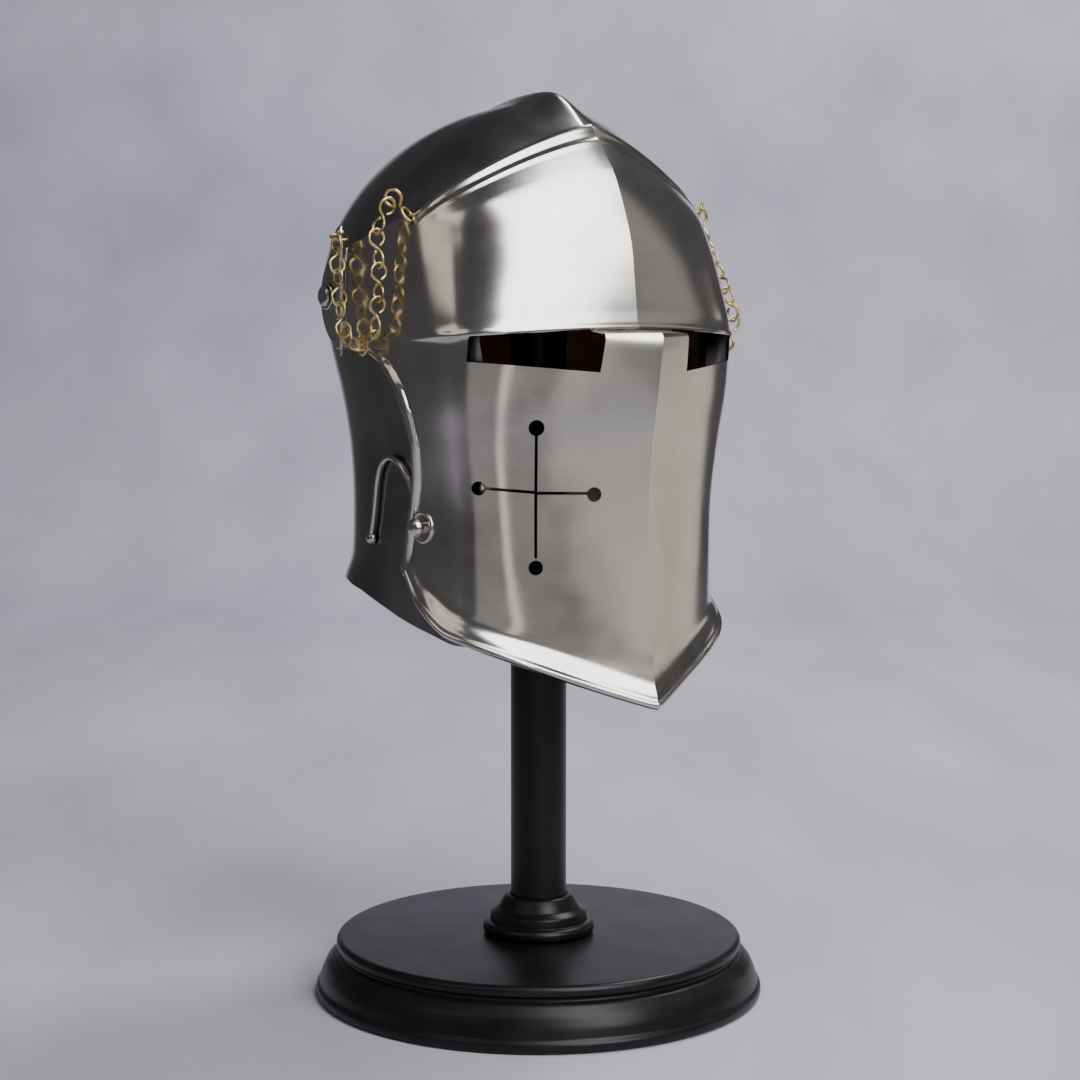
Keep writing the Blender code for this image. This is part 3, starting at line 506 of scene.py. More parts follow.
# Visor
# The face plate that lifts, with a stepped eye line, slots, a cross of breaths and a flared border.
# Raised and filed from 1.6 mm carbon steel, its edges rolled over wire, and polished by hand.
EYE_LINE = 375.4
EYE_ARCH = 0.0005
CHIN = 175.0
PEAK = 487.0
PEAK_Y = -47.0
RING_Y = -22.0
RING_Z = 437.0
TOP_SAG = 4.0
TAB_Y = 38.0
TAB_TOP = 419.0
TAB_BOTTOM = 367.0
HINGE_X = 104.6
HINGE_Y = 39.5
EYELET_Y = -20.0
EYELET_Z = 432.4
LATCH_Y = -22.0
LATCH_Z = 271.0
SIDES = ((-1, "right"), (1, "left"))

# Level sections of the visor: height, front ridge, angle and length of the front curve,
# width, where the side turns straight, and the side's forward pull.
LOWER = (
    (170, -103.5, 27, 78, 93, -5, 52),
    (190, -104.5, 27, 80, 93.5, -5, 54),
    (215, -102, 27, 82, 93.5, -5, 55),
    (241, -100, 27, 84, 93, -5, 57),
    (284, -99, 27, 88, 93.3, -5, 59),
    (316, -102, 27, 91, 98, -4, 62),
    (339, -106, 26, 94, 102, -2, 65),
    (372, -111, 25, 96, 104, 0, 65),
    (380, -112, 25, 96, 104, 0, 65),
)
BROW = (
    (360, -89.5, 11, 95, 104, 0, 63),
    (376, -89, 11, 95, 104, 0, 63),
    (400, -86.5, 12, 86, 104, 5, 62),
    (423, -83, 13, 74, 102.5, 8, 58),
    (440, -77, 13, 64, 99, 10, 54),
    (463, -65.5, 15, 43, 81, 18, 48),
    (480, -51, 13, 26, 58, 12, 36),
    (490, -41.5, 13, 20, 44, 8, 28),
)
# The rear edge from its lower corner up to the hinge: share of the way, y, z.
REAR_EDGE = (
    (0, -5, 247), (0.04, -5.2, 252.5), (0.08, -6.2, 258), (0.14, -8.2, 267.3), (0.2, -10.8, 277),
    (0.32, -17.5, 297), (0.42, -20, 315), (0.52, -18, 331), (0.62, -11, 347), (0.72, 0, 358),
    (0.81, 12, 363.5), (0.9, 25, 365.8), (1, TAB_Y, TAB_BOTTOM),
)
# The bead along that edge: how far in from it, half its width, how far it stands out, extra thickness.
BEAD = (2.8, 3.0, 2.7, 2.2)
# The jaw line's climb from the chin to the rear corner: share of the way round, share of the climb.
JAW = ((0, 0), (0.17, 0.11), (0.32, 0.215), (0.5, 0.35), (0.75, 0.54), (0.9, 0.76), (1, 1))
# The flared border: distance from the edge, how far it stands out, extra thickness of its rolled lip.
BORDER = (
    (0, 3.2, 1.6), (0.4, 4.4, 2.4), (1.1, 5.2, 2.8), (2.1, 5.7, 2.8), (3.1, 5.6, 2.3), (3.9, 5.1, 1.5),
    (4.5, 4.4, 0.7), (5.1, 3.9, 0.2), (6.2, 3.6, 0), (7.6, 3.1, 0), (9, 2.4, 0), (10.4, 1.6, 0),
    (11.8, 0.9, 0), (13.4, 0.35, 0),
)
# The step under the brow: distance above the eye line, share of the brow plate, how far its lip stands out.
STEP = (
    (-4, 0, 0), (-1.6, 0.08, 0), (-1.25, 0.33, 0), (-0.85, 0.6, 0), (-0.5, 0.84, 0), (0, 1, 0.5),
    (0.8, 1, 1.2), (1.6, 1, 1.4), (2.6, 1, 1.1), (3.6, 1, 0.6), (4.5, 1, 0.2),
)
# The band along the top edge: distance below it, how far it stands out, extra thickness.
BAND = (
    (12, 0, 0), (10.6, 0.12, 0), (9.6, 0.55, 0), (8.8, 0.8, 0), (8, 0.55, 0), (7, 0.15, 0), (5.8, 0.1, 0),
    (4.8, 0.35, 0), (3.9, 1.0, 0), (2.9, 1.5, 0.2), (1.8, 1.7, 0.4), (0.7, 1.5, 0.6), (0, 1.1, 0.5),
)


def visor_section(height, table):
    """Half of the visor's outline at this height, as (x, y) from the front ridge to the rear."""
    front, angle, length, wide, start, pull = table_at(table, height)
    angle = math.radians(angle)
    ahead = (length * math.cos(angle), front + length * math.sin(angle))
    fore = curve([(0, front), ahead, (wide, start - pull), (wide, start)], 90)
    return np.concatenate([fore, [(wide, 60.0)]])


def visor_point(share, height, end_y, brow):
    """A point of the visor's sheet. Brow is 1 on the brow plate and 0 on the face plate."""
    spots = []
    for table, part in ((LOWER, 1 - brow), (BROW, brow)):
        if part == 0:
            continue
        line = visor_section(height, table)
        steps = np.linalg.norm(np.diff(line, axis=0), axis=1)
        along = np.concatenate([[0], np.cumsum(steps)])
        want = share * np.interp(end_y, line[:, 1], along)
        spots.append(part * np.array([np.interp(want, along, line[:, 0]), np.interp(want, along, line[:, 1])]))
    x, y = sum(spots)
    return np.array([x, y, height])


def top_edge(y):
    """The height of the top edge. It sags a little between the peak and the chain's ring."""
    if y < RING_Y:
        way = (y - PEAK_Y) / (RING_Y - PEAK_Y)
        return PEAK - (PEAK - RING_Z) * way - TOP_SAG * math.sin(math.pi * min(max(way, 0.0), 1.0))
    return RING_Z - (RING_Z - TAB_TOP) * (y - RING_Y) / (TAB_Y - RING_Y)


def top_height(share):
    """The height at which the visor's sheet meets its top edge, by halving."""
    low, high = 405.0, PEAK + 0.01
    for _ in range(22):
        middle = (low + high) / 2
        if middle < top_edge(visor_point(share, middle, TAB_Y, 1)[1]):
            low = middle
        else:
            high = middle
    return (low + high) / 2


def visor_frame(y, z, brow):
    """The point of the visor's sheet on the wearer's left at this y and height, and its outward
    direction."""
    table = BROW if brow else LOWER
    line = visor_section(z, table)
    x = np.interp(y, line[:, 1], line[:, 0])
    ahead = np.interp(y - 2, line[:, 1], line[:, 0])
    behind = np.interp(y + 2, line[:, 1], line[:, 0])
    above = visor_section(z + 2, table)
    below = visor_section(z - 2, table)
    rise = np.interp(y, above[:, 1], above[:, 0]) - np.interp(y, below[:, 1], below[:, 0])
    out = np.array([1.0, -(behind - ahead) / 4, -rise / 4])
    return np.array([x, y, z]), out / np.linalg.norm(out)


def side_of(point, side):
    """A point or direction of the wearer's left, carried to this side."""
    return (point[0] * side, point[1], point[2])


def face_spot(way, above, share):
    """A point of the face plate, this share of the way up from the border and this far above that."""
    climb = np.interp(share, [j[0] for j in JAW], [j[1] for j in JAW])
    edge = np.array(REAR_EDGE)
    end_y = float(np.interp(way, edge[:, 0], edge[:, 1])) - 0.12 * above
    end_z = float(np.interp(way, edge[:, 0], edge[:, 2]))
    front = CHIN + (EYE_LINE - 4 - CHIN) * way
    height = front + (end_z - front) * climb ** (1 - 0.75 * way) + above
    x = visor_point(share, EYE_LINE, TAB_Y, 1)[0]
    height = height - EYE_ARCH * min(x, 95.0) ** 2 * ease(way, 0.8, 1.0) * (1 - share)
    return visor_point(share, height, end_y, 0)


def visor_sheet():
    """Rows of points from the chin's border to the top edge, one side, with each row's kind,
    how far it stands out and its extra thickness."""
    shares = [0.945 * k / 46 for k in range(47)] + list(np.linspace(0.9485, 1, 18))
    rows = []
    for above, lift, thick in BORDER:
        rows.append(("border", [face_spot(0, above, s) for s in shares], lift, thick))
    top_of_border = np.array(rows[-1][1])
    first_face = np.array([face_spot(0.14, 0, s) for s in shares])
    for t, lift in ((0.15, 0.1), (0.4, 0), (0.7, 0)):
        rows.append(("border", list(top_of_border + (first_face - top_of_border) * t), lift, 0))
    for k in range(45):
        rows.append(("face", [face_spot(0.14 + 0.82 * k / 44, 0, s) for s in shares], 0, 0))
    widths = [visor_point(s, EYE_LINE, TAB_Y, 1)[0] for s in shares]
    eyes = [EYE_LINE - EYE_ARCH * min(x, 95.0) ** 2 for x in widths]
    tops = [top_height(s) for s in shares]
    for above, brow, lift in STEP:
        line = [visor_point(s, e + above, TAB_Y, brow) for s, e in zip(shares, eyes)]
        rows.append(("eye", line, lift, 0))
    for k in range(38):
        t = 0.09 + (0.79 - 0.09) * k / 37
        levels = [e + 1 + (h - e - 1) * t for e, h in zip(eyes, tops)]
        rows.append(("brow", [visor_point(s, level, TAB_Y, 1) for s, level in zip(shares, levels)], 0, 0))
    for below, lift, thick in BAND:
        levels = [h - below * (1 - 0.35 * ease(s, 0.5, 0.8)) for s, h in zip(shares, tops)]
        rows.append(("band", [visor_point(s, level, TAB_Y, 1) for s, level in zip(shares, levels)], lift, thick))
    return shares, rows


def visor_walls():
    """The visor's outside and inside, as grids of points from rear edge to rear edge."""
    shares, rows = visor_sheet()
    half = len(shares) - 1
    spread = [-s for s in shares[:0:-1]] + shares
    right = np.array([line for _, line, _, _ in rows])
    sheet = np.concatenate([right[:, :0:-1] * np.array([-1, 1, 1]), right], axis=1)
    out = np.cross(np.gradient(sheet, axis=1), np.gradient(sheet, axis=0))
    out = out / np.linalg.norm(out, axis=2)[:, :, None]
    out[:, half, 0] = 0
    ways = np.linspace(0, 1, 160)
    edge = np.array(REAR_EDGE)
    rear_edge = np.column_stack([np.interp(ways, edge[:, 0], edge[:, k]) for k in (1, 2)])
    bead_in, bead_half, bead_rise, bead_fat = BEAD
    lifts = np.zeros(sheet.shape[:2])
    extras = np.zeros(sheet.shape[:2])
    for r, (kind, _, lift, extra) in enumerate(rows):
        for c, place in enumerate(spread):
            share = abs(place)
            if share > 0.5:
                point = sheet[r, c]
                blend = ease(share, 0.5, 0.65)
                flat = visor_frame(point[1], point[2], kind in ("brow", "band"))[1]
                flat = np.array(side_of(flat, np.sign(place)))
                out[r, c] = out[r, c] * (1 - blend) + flat * blend
            rise = lift
            fat = extra
            if kind in ("eye", "band"):
                rise = lift * (1 - ease(share, 0.5, 0.66))
                fat = extra * (1 - ease(share, 0.55, 0.72))
            if kind == "border":
                rise = lift * (0.8 + 0.5 * ease(share, 0.2, 0.55) - 0.8 * ease(share, 0.75, 1))
            if share > 0.6 and kind in ("border", "face", "eye"):
                near = np.linalg.norm(rear_edge - sheet[r, c, 1:], axis=1).min()
                bead = math.sqrt(max(0.0, 1 - ((near - bead_in) / bead_half) ** 2))
                bead = bead * (1 - ease(sheet[r, c, 1], 24, 33))
                rise = max(rise, bead_rise * bead)
                fat = max(fat, bead_fat * bead)
            lifts[r, c] = rise
            extras[r, c] = fat
    out = out / np.linalg.norm(out, axis=2)[:, :, None]
    return sheet + out * lifts[:, :, None], sheet + out * (lifts - STEEL - extras)[:, :, None]


def plate(name, outer, inner, material):
    """A closed plate between two grids of points."""
    rows, columns = outer.shape[:2]
    bm = bmesh.new()
    bmesh.ops.create_grid(bm, x_segments=columns - 1, y_segments=rows - 1, size=0.5)
    bm.verts.ensure_lookup_table()
    depth = bm.verts.layers.float_vector.new("inner wall")
    for vert, front, back in zip(bm.verts, outer.reshape(-1, 3), inner.reshape(-1, 3)):
        vert.co = front * MM
        vert[depth] = back * MM
    made = bmesh.ops.extrude_face_region(bm, geom=bm.faces[:], use_keep_orig=True)
    for item in made["geom"]:
        if isinstance(item, bmesh.types.BMVert):
            item.co = item[depth]
    return as_piece(bm, name, material)


bright_steel = polished_steel("hand-polished steel", "#c9c6c2", "#b4b0ab", 0.185, 0.3)
visor = plate("visor_plate", *visor_walls(), bright_steel)
cutters = []
for side in (-1, 1):
    slot = [(27.5 * side, 375.8), (88.6 * side, 372.3), (89 * side, 359), (29 * side, 353.4)]
    cutters.append(block(slot, -140, -30))
BREATH_TURN = math.radians(-31)
BREATH_PLACE = (-55, -73.5)
BREATH_Z = 292
cross = [(-0.8, -36), (0.8, -36), (0.8, -2.4), (28, -2.9), (28, -1.3), (0.8, -0.8), (0.8, 30), (-0.8, 30)]
cross += [(-0.8, -0.4), (-27, 1.9), (-27, 0.3), (-0.8, -2.0)]
cutters.append(block([(x, z + BREATH_Z) for x, z in cross], -30, 30, BREATH_TURN, BREATH_PLACE))
for x, z, radius in ((0, 324.6, 4.2), (-30, 293, 3.7), (31, 289.3, 3.9), (0, 251, 3.9)):
    turns = [k * math.pi / 16 for k in range(32)]
    ring = [(x + radius * math.cos(a), z + radius * math.sin(a)) for a in turns]
    cutters.append(block(ring, -30, 30, BREATH_TURN, BREATH_PLACE))
latch_spot, latch_out = visor_frame(LATCH_Y, LATCH_Z, False)
cutters.append(rod(6.4, 9, side_of(latch_spot, -1), side_of(latch_out, -1), 40))
eyelet_spot, eyelet_out = visor_frame(EYELET_Y, EYELET_Z, True)
for side in (-1, 1):
    cutters.append(rod(2.5, 4, side_of(eyelet_spot, side), side_of(eyelet_out, side), 24))
notch = [(98, 380.7), (110, 380.7), (110, 407.3), (98, 407.3)]
for side in (-1, 1):
    cutters.append(block([(x * side, z) for x, z in notch], HINGE_Y - 3.1, 50))
cut(visor, cutters, 38, ridged=True)
stands_for(visor, "visor", "steel", "visor")
for side, word in SIDES:
    for low, high, level in ((365, 380.4, "lower"), (407.6, 423, "upper")):
        sleeve = [(1.35, low), (2.4, low), (2.7, low + 0.4), (2.7, high - 0.4), (2.4, high), (1.35, high)]
        at = (HINGE_X * side, HINGE_Y, 0)
        knuckle = turned(f"visor_knuckle_{level}_{word}", sleeve, bright_steel, at, sides=32, ring=True)
        stands_for(knuckle, "visor", "steel")


# Side hinges
# A flat leaf on each side turns on a rivet through the skull; a pin joins it to the visor.
# Filed from steel plate and rod and polished, with a dished washer under each rivet's head.
LEAF = (
    (42.2, 365.6), (46, 365.6), (56, 371), (62, 381), (64.5, 394), (61, 407), (53, 417.4), (46, 422.4),
    (42.2, 422.4), (42.2, 406), (40.4, 406), (40.4, 382), (42.2, 382),
)
LEAF_INSIDE = 101.65
LEAF_OUTSIDE = 103.05
EASED = 0.5


def hinge_leaf(word, side):
    """A plate 1.4 mm thick through the leaf's outline (y, z), its edges eased with a file."""
    bm = bmesh.new()
    curved = rounded(LEAF[:9], 7, 5) + list(LEAF[9:])
    face = bm.faces.new([bm.verts.new((LEAF_INSIDE * side * MM, y * MM, z * MM)) for y, z in curved])
    made = bmesh.ops.extrude_face_region(bm, geom=[face], use_keep_orig=True)
    for item in made["geom"]:
        if isinstance(item, bmesh.types.BMVert):
            item.co.x = LEAF_OUTSIDE * side * MM
    bmesh.ops.recalc_face_normals(bm, faces=bm.faces[:])
    rims = [e for e in bm.edges if len(e.link_faces) == 2 and abs(e.verts[0].co.x - e.verts[1].co.x) < 1e-6]
    bmesh.ops.bevel(bm, geom=rims, offset=EASED * MM, segments=3, profile=0.5, affect="EDGES", material=-1)
    return as_piece(bm, f"side_leaf_{word}", bright_steel)


for side, word in SIDES:
    stands_for(hinge_leaf(word, side), "visor", "steel", f"hinge_leaf_{word}")
    sleeve = [(1.35, 381), (2.4, 381), (2.7, 381.4), (2.7, 406.6), (2.4, 407), (1.35, 407)]
    at = (HINGE_X * side, HINGE_Y, 0)
    middle_knuckle = turned(f"leaf_knuckle_{word}", sleeve, bright_steel, at, sides=32, ring=True)
    stands_for(middle_knuckle, "visor", "steel")
    at = (0, PIVOT_Y, PIVOT_Z)
    lens = [(3.3, 103.4), (7.3, 103.4), (7.5, 103.7), (7.1, 104.1), (5, 104.5), (3.3, 104.6)]
    washer = turned(f"rivet_washer_{word}", lens, bright_steel, at, (side, 0, 0), 48, True)
    stands_for(washer, "visor", "steel", f"pivot_washer_{word}")
    dome = [(0, 98.9), (3, 98.9), (3, 104.8), (5.6, 104.8), (5.7, 105.1), (5.1, 105.9), (3.9, 106.5)]
    dome += [(2.2, 106.9), (0, 107)]
    rivet = turned(f"side_rivet_{word}", rounded(dome, 0.4), bright_steel, at, (side, 0, 0), 48)
    stands_for(rivet, "helmet", "steel", f"pivot_rivet_{word}")
    knob = [(0, 361.5), (1.05, 361.5), (1.05, 427.2), (2.6, 427.5), (2.9, 428.1), (2.4, 429.4)]
    knob += [(1.3, 431.2), (0, 432.5)]
    pin = turned(f"pull_pin_{word}", rounded(knob, 0.3), bright_steel, (HINGE_X * side, HINGE_Y, 0), sides=32)
    stands_for(pin, "visor", "steel", f"hinge_pin_{word}")


# Chains
# A length of single jack chain on each side keeps the pull-out pin with the visor.
# Bent by machine from round brass wire, each link two open loops set a quarter turn apart.
LINK_WIRE = 1.45
# The wire itself is drawn a little thicker than the CAD's.
DRAWN_RADIUS = 0.8
LINK_LOOP = 4.5
LINK_PITCH = 17.7
LINK_PLAY = 1.15
END_RING = 4.6
CHAIN_X = 110.6
# How each chain hangs between its first link and the hinge pin: y, z.
DRAPE_RIGHT = ((-9, 427), (-9, 409), (-8, 392), (-4, 376), (10, 366), (25, 370), (31, 387), (33, 405))
DRAPE_LEFT = (
    (-12, 428), (-21, 413), (-31, 398), (-38, 382), (-33, 366),
    (-17, 359), (0, 363), (13, 373), (23, 387), (31, 404),
)


def drawn_brass():
    """Drawn brass wire, handled and a little tarnished in patches about 8 mm long."""
    made, tree, shader = finish_of("drawn brass wire", 1.0, 0.28, linear("#d6bf80"))
    place = node(tree, "ShaderNodeTexCoord").outputs["Object"]
    patch = node(
        tree, "ShaderNodeTexNoise", None, {"Vector": place, "Scale": 120.0, "Detail": 4.0}
    ).outputs["Fac"]
    tree.links.new(
        shades(tree, patch, [(0.3, linear("#8a7240")), (0.46, linear("#d6bf80")), (0.75, linear("#eddca8"))]),
        shader.inputs["Base Color"],
    )
    gloss = node(tree, "ShaderNodeMapRange", None, {"Value": patch, "To Min": 0.38, "To Max": 0.22})
    tree.links.new(gloss.outputs["Result"], shader.inputs["Roughness"])
    return made


brass = drawn_brass()


def round_wire(name, points, radius, material, closed=False):
    """A round wire bent along these points, its ends capped flat unless closed."""
    path = bpy.data.curves.new(name, "CURVE")
    path.dimensions = "3D"
    path.bevel_depth = radius * MM
    path.bevel_resolution = 3
    path.use_fill_caps = True
    run = path.splines.new("POLY")
    run.points.add(len(points) - 1)
    for spot, point in zip(run.points, points):
        spot.co = (*(np.array(point) * MM), 1)
    run.use_cyclic_u = closed
    holder = bpy.data.objects.new(name, path)
    bpy.context.scene.collection.objects.link(holder)
    bpy.context.view_layer.update()
    mesh = bpy.data.meshes.new_from_object(holder.evaluated_get(bpy.context.evaluated_depsgraph_get()))
    bpy.data.objects.remove(holder, do_unlink=True)
    bm = bmesh.new()
    bm.from_mesh(mesh)
    bmesh.ops.remove_doubles(bm, verts=bm.verts[:], dist=1e-7)
    bpy.data.meshes.remove(mesh)
    return as_piece(bm, name, material, 50)


def smooth_path(points, count):
    """A smooth curve through these points, with this many points to each step."""
    spots = np.array(points, float)
    ahead = np.gradient(spots, axis=0)
    made = []
    for k in range(len(spots) - 1):
        for t in np.linspace(0, 1, count, endpoint=False):
            made.append(between(spots[k], ahead[k], spots[k + 1], ahead[k + 1], t))
    return made + [spots[-1]]


def end_ring():
    """The ring round a hinge pin's neck on the wearer's left: its points, and where the chain hooks on."""
    middle = np.array([HINGE_X + 1.5, HINGE_Y - 1.2, 425.2])
    lean = np.array([0, -0.954, -0.3])
    turns = np.arange(48) * math.pi / 24
    points = [middle + END_RING * (math.cos(a) * np.array([1, 0, 0]) + math.sin(a) * lean) for a in turns]
    hook = middle + (END_RING - (LINK_WIRE + LINK_PLAY) / 2) * (0.86 * np.array([1, 0, 0]) + 0.51 * lean)
    return points, hook


def settle(points, length):
    """Moves the inner points until every step of the chain has this length."""
    spots = np.array(points, float)
    for _ in range(600):
        for k in range(len(spots) - 1):
            step = spots[k + 1] - spots[k]
            far = np.linalg.norm(step)
            fix = step * (far - length) / far
            if k == 0:
                spots[1] -= fix
            elif k == len(spots) - 2:
                spots[k] += fix
            else:
                spots[k] += fix / 2
                spots[k + 1] -= fix / 2
    return spots


def link_path(middle, along, across):
    """One link: a loop at each end of one wire, the second turned a quarter round."""
    along = along / np.linalg.norm(along)
    first = across - along * np.dot(across, along)
    first = first / np.linalg.norm(first)
    second = np.cross(along, first)
    centre = (LINK_PITCH + LINK_WIRE + LINK_PLAY) / 2 - LINK_LOOP
    path = []
    for degrees in range(22, 303, 40):
        a = math.radians(degrees)
        path.append(middle - along * (centre - LINK_LOOP * math.cos(a)) + first * LINK_LOOP * math.sin(a))
    path.append(np.array(middle, float))
    for degrees in range(302, 21, -40):
        a = math.radians(degrees)
        path.append(middle + along * (centre - LINK_LOOP * math.cos(a)) - second * LINK_LOOP * math.sin(a))
    return smooth_path(path, 4)


def hang_link(number, word, side, middle, along, across):
    """One link of this side's chain, placed as on the wearer's left."""
    path = link_path(*(np.array(side_of(v, side)) for v in (middle, along, across)))
    made = round_wire(f"jack_link_{word}_{number}", path, DRAWN_RADIUS, brass)
    stands_for(made, "visor", "brass", f"chain_{word}_{number}")


for word, side, drape in (("right", -1, DRAPE_RIGHT), ("left", 1, DRAPE_LEFT)):
    edge = np.array([0, 0.62, 0.78])
    edge = edge - eyelet_out * np.dot(edge, eyelet_out)
    edge = edge / np.linalg.norm(edge)
    loop = eyelet_spot - eyelet_out * STEEL / 2 + edge * 4.0 + eyelet_out * 1.83
    along = edge * 0.75 + eyelet_out * 0.66
    along = along / np.linalg.norm(along)
    centre = (LINK_PITCH + LINK_WIRE + LINK_PLAY) / 2 - LINK_LOOP
    middle = loop + along * centre
    hang_link(1, word, side, middle, along, eyelet_out)
    down = np.cross(along, eyelet_out)
    first = middle + along * centre - down * np.sign(down[2]) * (LINK_LOOP - (LINK_WIRE + LINK_PLAY) / 2)
    points, hook = end_ring()
    ring = round_wire(f"pin_ring_{word}", [side_of(p, side) for p in points], DRAWN_RADIUS, brass, True)
    stands_for(ring, "visor", "brass", f"chain_{word}_ring")
    joints = settle([first] + [(CHAIN_X, y, z) for y, z in drape] + [hook], LINK_PITCH)
    for k in range(len(joints) - 1):
        spot = (joints[k + 1] + joints[k]) / 2
        hang_link(k + 2, word, side, spot, joints[k + 1] - joints[k], np.array([side * 1.0, 0, 0]))


# Latch
# A press pin that holds the visor shut, and the bent spring wire riveted to the skull beside it.
# Spring steel wire and a turned steel pin with a domed head, inside a raised round rim.
SPRING_FOOT = (32.5, 261)
# How far the spring wire's middle stands off the skull.
SPRING_LIFT = 1.25 + GAP + 0.6


def on_skull(y, z, off):
    """A point this far outside the skull's left side, at this y and height."""
    low, high = 0.2, 0.9
    for _ in range(24):
        share = (low + high) / 2
        if skull_point(share, z, 0)[1] < y:
            low = share
        else:
            high = share
    return skull_point(low, z, -off)


bends = ((33, 259), (32, 264), (30, 271), (28, 279), (26.5, 286), (24.5, 293), (21, 300), (16, 304.5))
bends += ((10, 306.5), (4, 305), (-1, 301), (-5, 295), (-8, 289))
run = smooth_path([side_of(on_skull(y, z, SPRING_LIFT), -1) for y, z in bends], 5)
spring = round_wire("latch_spring_wire", run, 1.6, bright_steel)
stands_for(spring, "helmet", "steel", "latch_spring")
foot_spot = on_skull(*SPRING_FOOT, 0)
foot_out = on_skull(*SPRING_FOOT, 1) - foot_spot
head = [(0, 0.7), (3.2, 0.7), (3.3, 1.1), (3.2, 2.2), (2.6, 3.6), (1.5, 4.4), (0, 4.7)]
spring_rivet = turned(
    "latch_spring_rivet", head, bright_steel, side_of(foot_spot, -1), side_of(foot_out, -1), 36
)
stands_for(spring_rivet, "helmet", "steel")
button = [(0, -2.7), (7.4, -2.7), (7.4, -2.1), (3.2, -2.1), (3.2, 3.6), (4.9, 3.9), (5.2, 4.5), (5.1, 5.6)]
button += [(4.4, 7.1), (2.8, 8.1), (1.4, 8.5), (0, 8.6)]
press = turned("press_pin", button, bright_steel, side_of(latch_spot, -1), side_of(latch_out, -1), 48)
stands_for(press, "latch", "steel", "latch_pin")
rim = [(6.45 + 1.3 * (1 - math.cos(a)), 1.3 * math.sin(a)) for a in np.linspace(0, math.pi, 9)]
rim = [(6.45, -0.4)] + rim + [(9.05, -0.4)]
eyelet = turned("latch_hole_rim", rim, bright_steel, side_of(latch_spot, -1), side_of(latch_out, -1), 48, True)
stands_for(eyelet, "visor", "steel")


# Studio
# A pale paper sweep behind and under the stand, one large softbox ahead and above, and dim narrow
# cards at the sides, which the polished steel shows as upright streaks. The room itself is dim.
def backdrop_paper():
    """Mottled lavender-grey paper: soft clouds about 150 mm across, longer away from the camera."""
    made, tree, shader = finish_of("pale grey backdrop paper", 0.0, 0.9, linear("#b9b7c3"))
    place = node(
        tree, "ShaderNodeMapping", {"vector_type": "TEXTURE"}, {
            "Vector": node(tree, "ShaderNodeTexCoord").outputs["Object"],
            "Rotation": (0, 0, VIEW_TURN), "Scale": (1, 3.3, 1),
        },
    ).outputs["Vector"]
    cloud = node(
        tree, "ShaderNodeTexNoise", None, {"Vector": place, "Scale": 6.5, "Detail": 5.0}
    ).outputs["Fac"]
    tree.links.new(
        shades(tree, cloud, [(0.3, linear("#b1adbc")), (0.7, linear("#c6c1d1"))]), shader.inputs["Base Color"]
    )
    return made


VIEW_TURN = math.radians(-36)
BEHIND = Vector((-math.sin(VIEW_TURN), math.cos(VIEW_TURN), 0))
RIGHT = Vector((math.cos(VIEW_TURN), math.sin(VIEW_TURN), 0))


def sweep():
    """Floor and background in one curved sheet, turned to face the camera."""
    bm = bmesh.new()
    profile = [(-0.75, 0), (1.7, 0)]
    profile += [(1.7 + 0.5 * math.sin(a), 0.5 - 0.5 * math.cos(a)) for a in np.linspace(0.1, math.pi / 2, 14)]
    profile += [(2.2, 1.3)]
    verts = [bm.verts.new(BEHIND * along - RIGHT * 0.9 + Vector((0, 0, height))) for along, height in profile]
    edges = [bm.edges.new(pair) for pair in zip(verts, verts[1:])]
    made = bmesh.ops.extrude_edge_only(bm, edges=edges)
    moved = [v for v in made["geom"] if isinstance(v, bmesh.types.BMVert)]
    bmesh.ops.translate(bm, verts=moved, vec=RIGHT * 1.8)
    return as_piece(bm, "backdrop", backdrop_paper(), 60)


sweep()


def soft_light(name, turn, rise, far, size, glow, colour=(1, 1, 1), target=(0, 0, 0.34)):
    """A lit card this many degrees round to the wearer's right of the front and this far up, facing the
    helmet. Glow is how bright its face is."""
    turn = math.radians(turn)
    rise = math.radians(rise)
    data = bpy.data.lights.new(name, "AREA")
    data.shape = "RECTANGLE"
    data.size, data.size_y = size
    data.energy = glow * math.pi * size[0] * size[1]
    data.color = colour
    made = bpy.data.objects.new(name, data)
    toward = Vector((-math.sin(turn) * math.cos(rise), -math.cos(turn) * math.cos(rise), math.sin(rise)))
    made.location = Vector(target) + toward * far
    made.rotation_euler = (-toward).to_track_quat("-Z", "Y").to_euler()
    made.visible_camera = False
    bpy.context.scene.collection.objects.link(made)
    return made


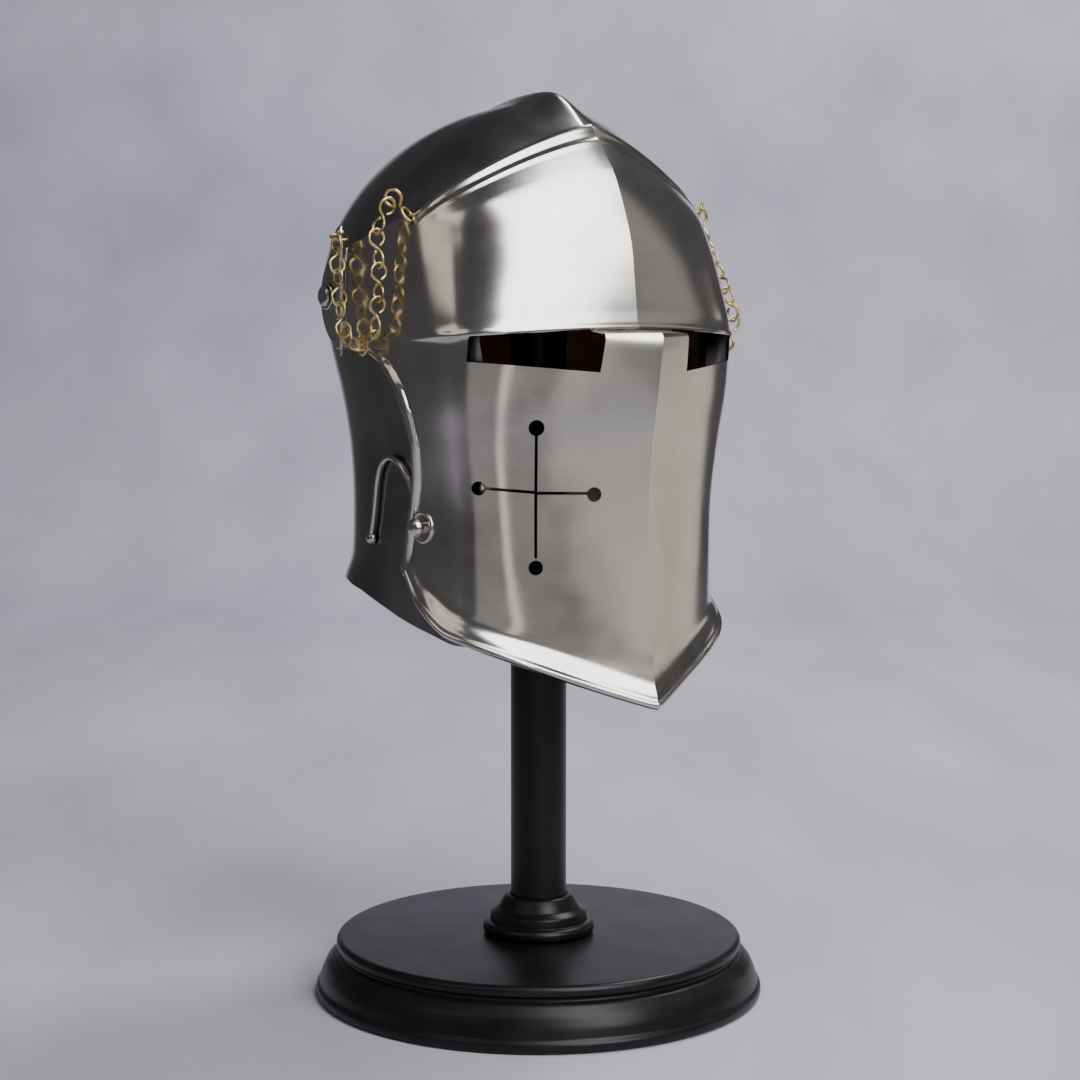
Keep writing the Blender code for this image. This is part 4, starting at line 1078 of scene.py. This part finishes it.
soft_light("front softbox", 1.5, 41, 1.7, (0.96, 1.95), 6.8)
soft_light("front edge card", 13.6, -6, 1.7, (0.045, 0.95), 1.9, (1.0, 0.97, 0.93))
soft_light("front left card", 22.5, -8, 1.7, (0.3, 0.9), 0.24, (1.0, 0.97, 0.96))
soft_light("left streak card", 31.5, -8, 1.7, (0.12, 0.95), 1.5, (1.0, 0.97, 0.93))
soft_light("far left card", 49, -8, 1.7, (0.75, 0.9), 0.26, (1.0, 0.97, 0.95))
soft_light("high left card", 76, 46, 1.6, (0.6, 0.35), 1.3, (1.0, 0.97, 0.92))
soft_light("warm card", 88, 29, 1.5, (0.8, 0.45), 1.0, (1.0, 0.92, 0.8))
soft_light("right warm card", -90, -3, 1.6, (0.26, 0.75), 0.85, (1.0, 0.9, 0.81))
soft_light("far right card", -62, 26, 1.7, (0.7, 1.1), 0.32, (1.0, 0.96, 0.92))
paper_light = soft_light("paper light", 0, 0, 1.0, (0.8, 0.8), 19.0)
paper_light.location = BEHIND * 0.9 + RIGHT * 0.75 + Vector((0, 0, 2.0))
paper_light.rotation_euler = (BEHIND * 2.0 - paper_light.location).to_track_quat("-Z", "Y").to_euler()
world = bpy.data.worlds.new("studio")
world.use_nodes = True
dim = world.node_tree.nodes["Background"]
dim.inputs["Color"].default_value = (0.085, 0.084, 0.088, 1)
pale = node(world.node_tree, "ShaderNodeBackground", None, {"Color": (0.3, 0.295, 0.34, 1)})
seen = node(world.node_tree, "ShaderNodeLightPath").outputs["Is Camera Ray"]
both = node(
    world.node_tree, "ShaderNodeMixShader", None,
    {"Fac": seen, 1: dim.outputs[0], 2: pale.outputs[0]},
)
world.node_tree.links.new(both.outputs[0], world.node_tree.nodes["World Output"].inputs["Surface"])
bpy.context.scene.world = world


# Camera
# Where the photograph was taken from: 1.3 m away, level with the eye slots and tipped down 5 degrees.
# The photograph fits a focal length of 2300 pixels on a picture 1080 pixels wide.
data = bpy.data.cameras.new("camera")
data.sensor_width = 36
data.lens = 36 * 2300 / 1080
data.shift_x = 1.5 / 1080
camera = bpy.data.objects.new("camera", data)
camera.location = (-0.7588, -1.0444, 0.3765)
camera.rotation_euler = (math.radians(90 - 5.27), 0, math.radians(-36))
bpy.context.scene.collection.objects.link(camera)
bpy.context.scene.camera = camera
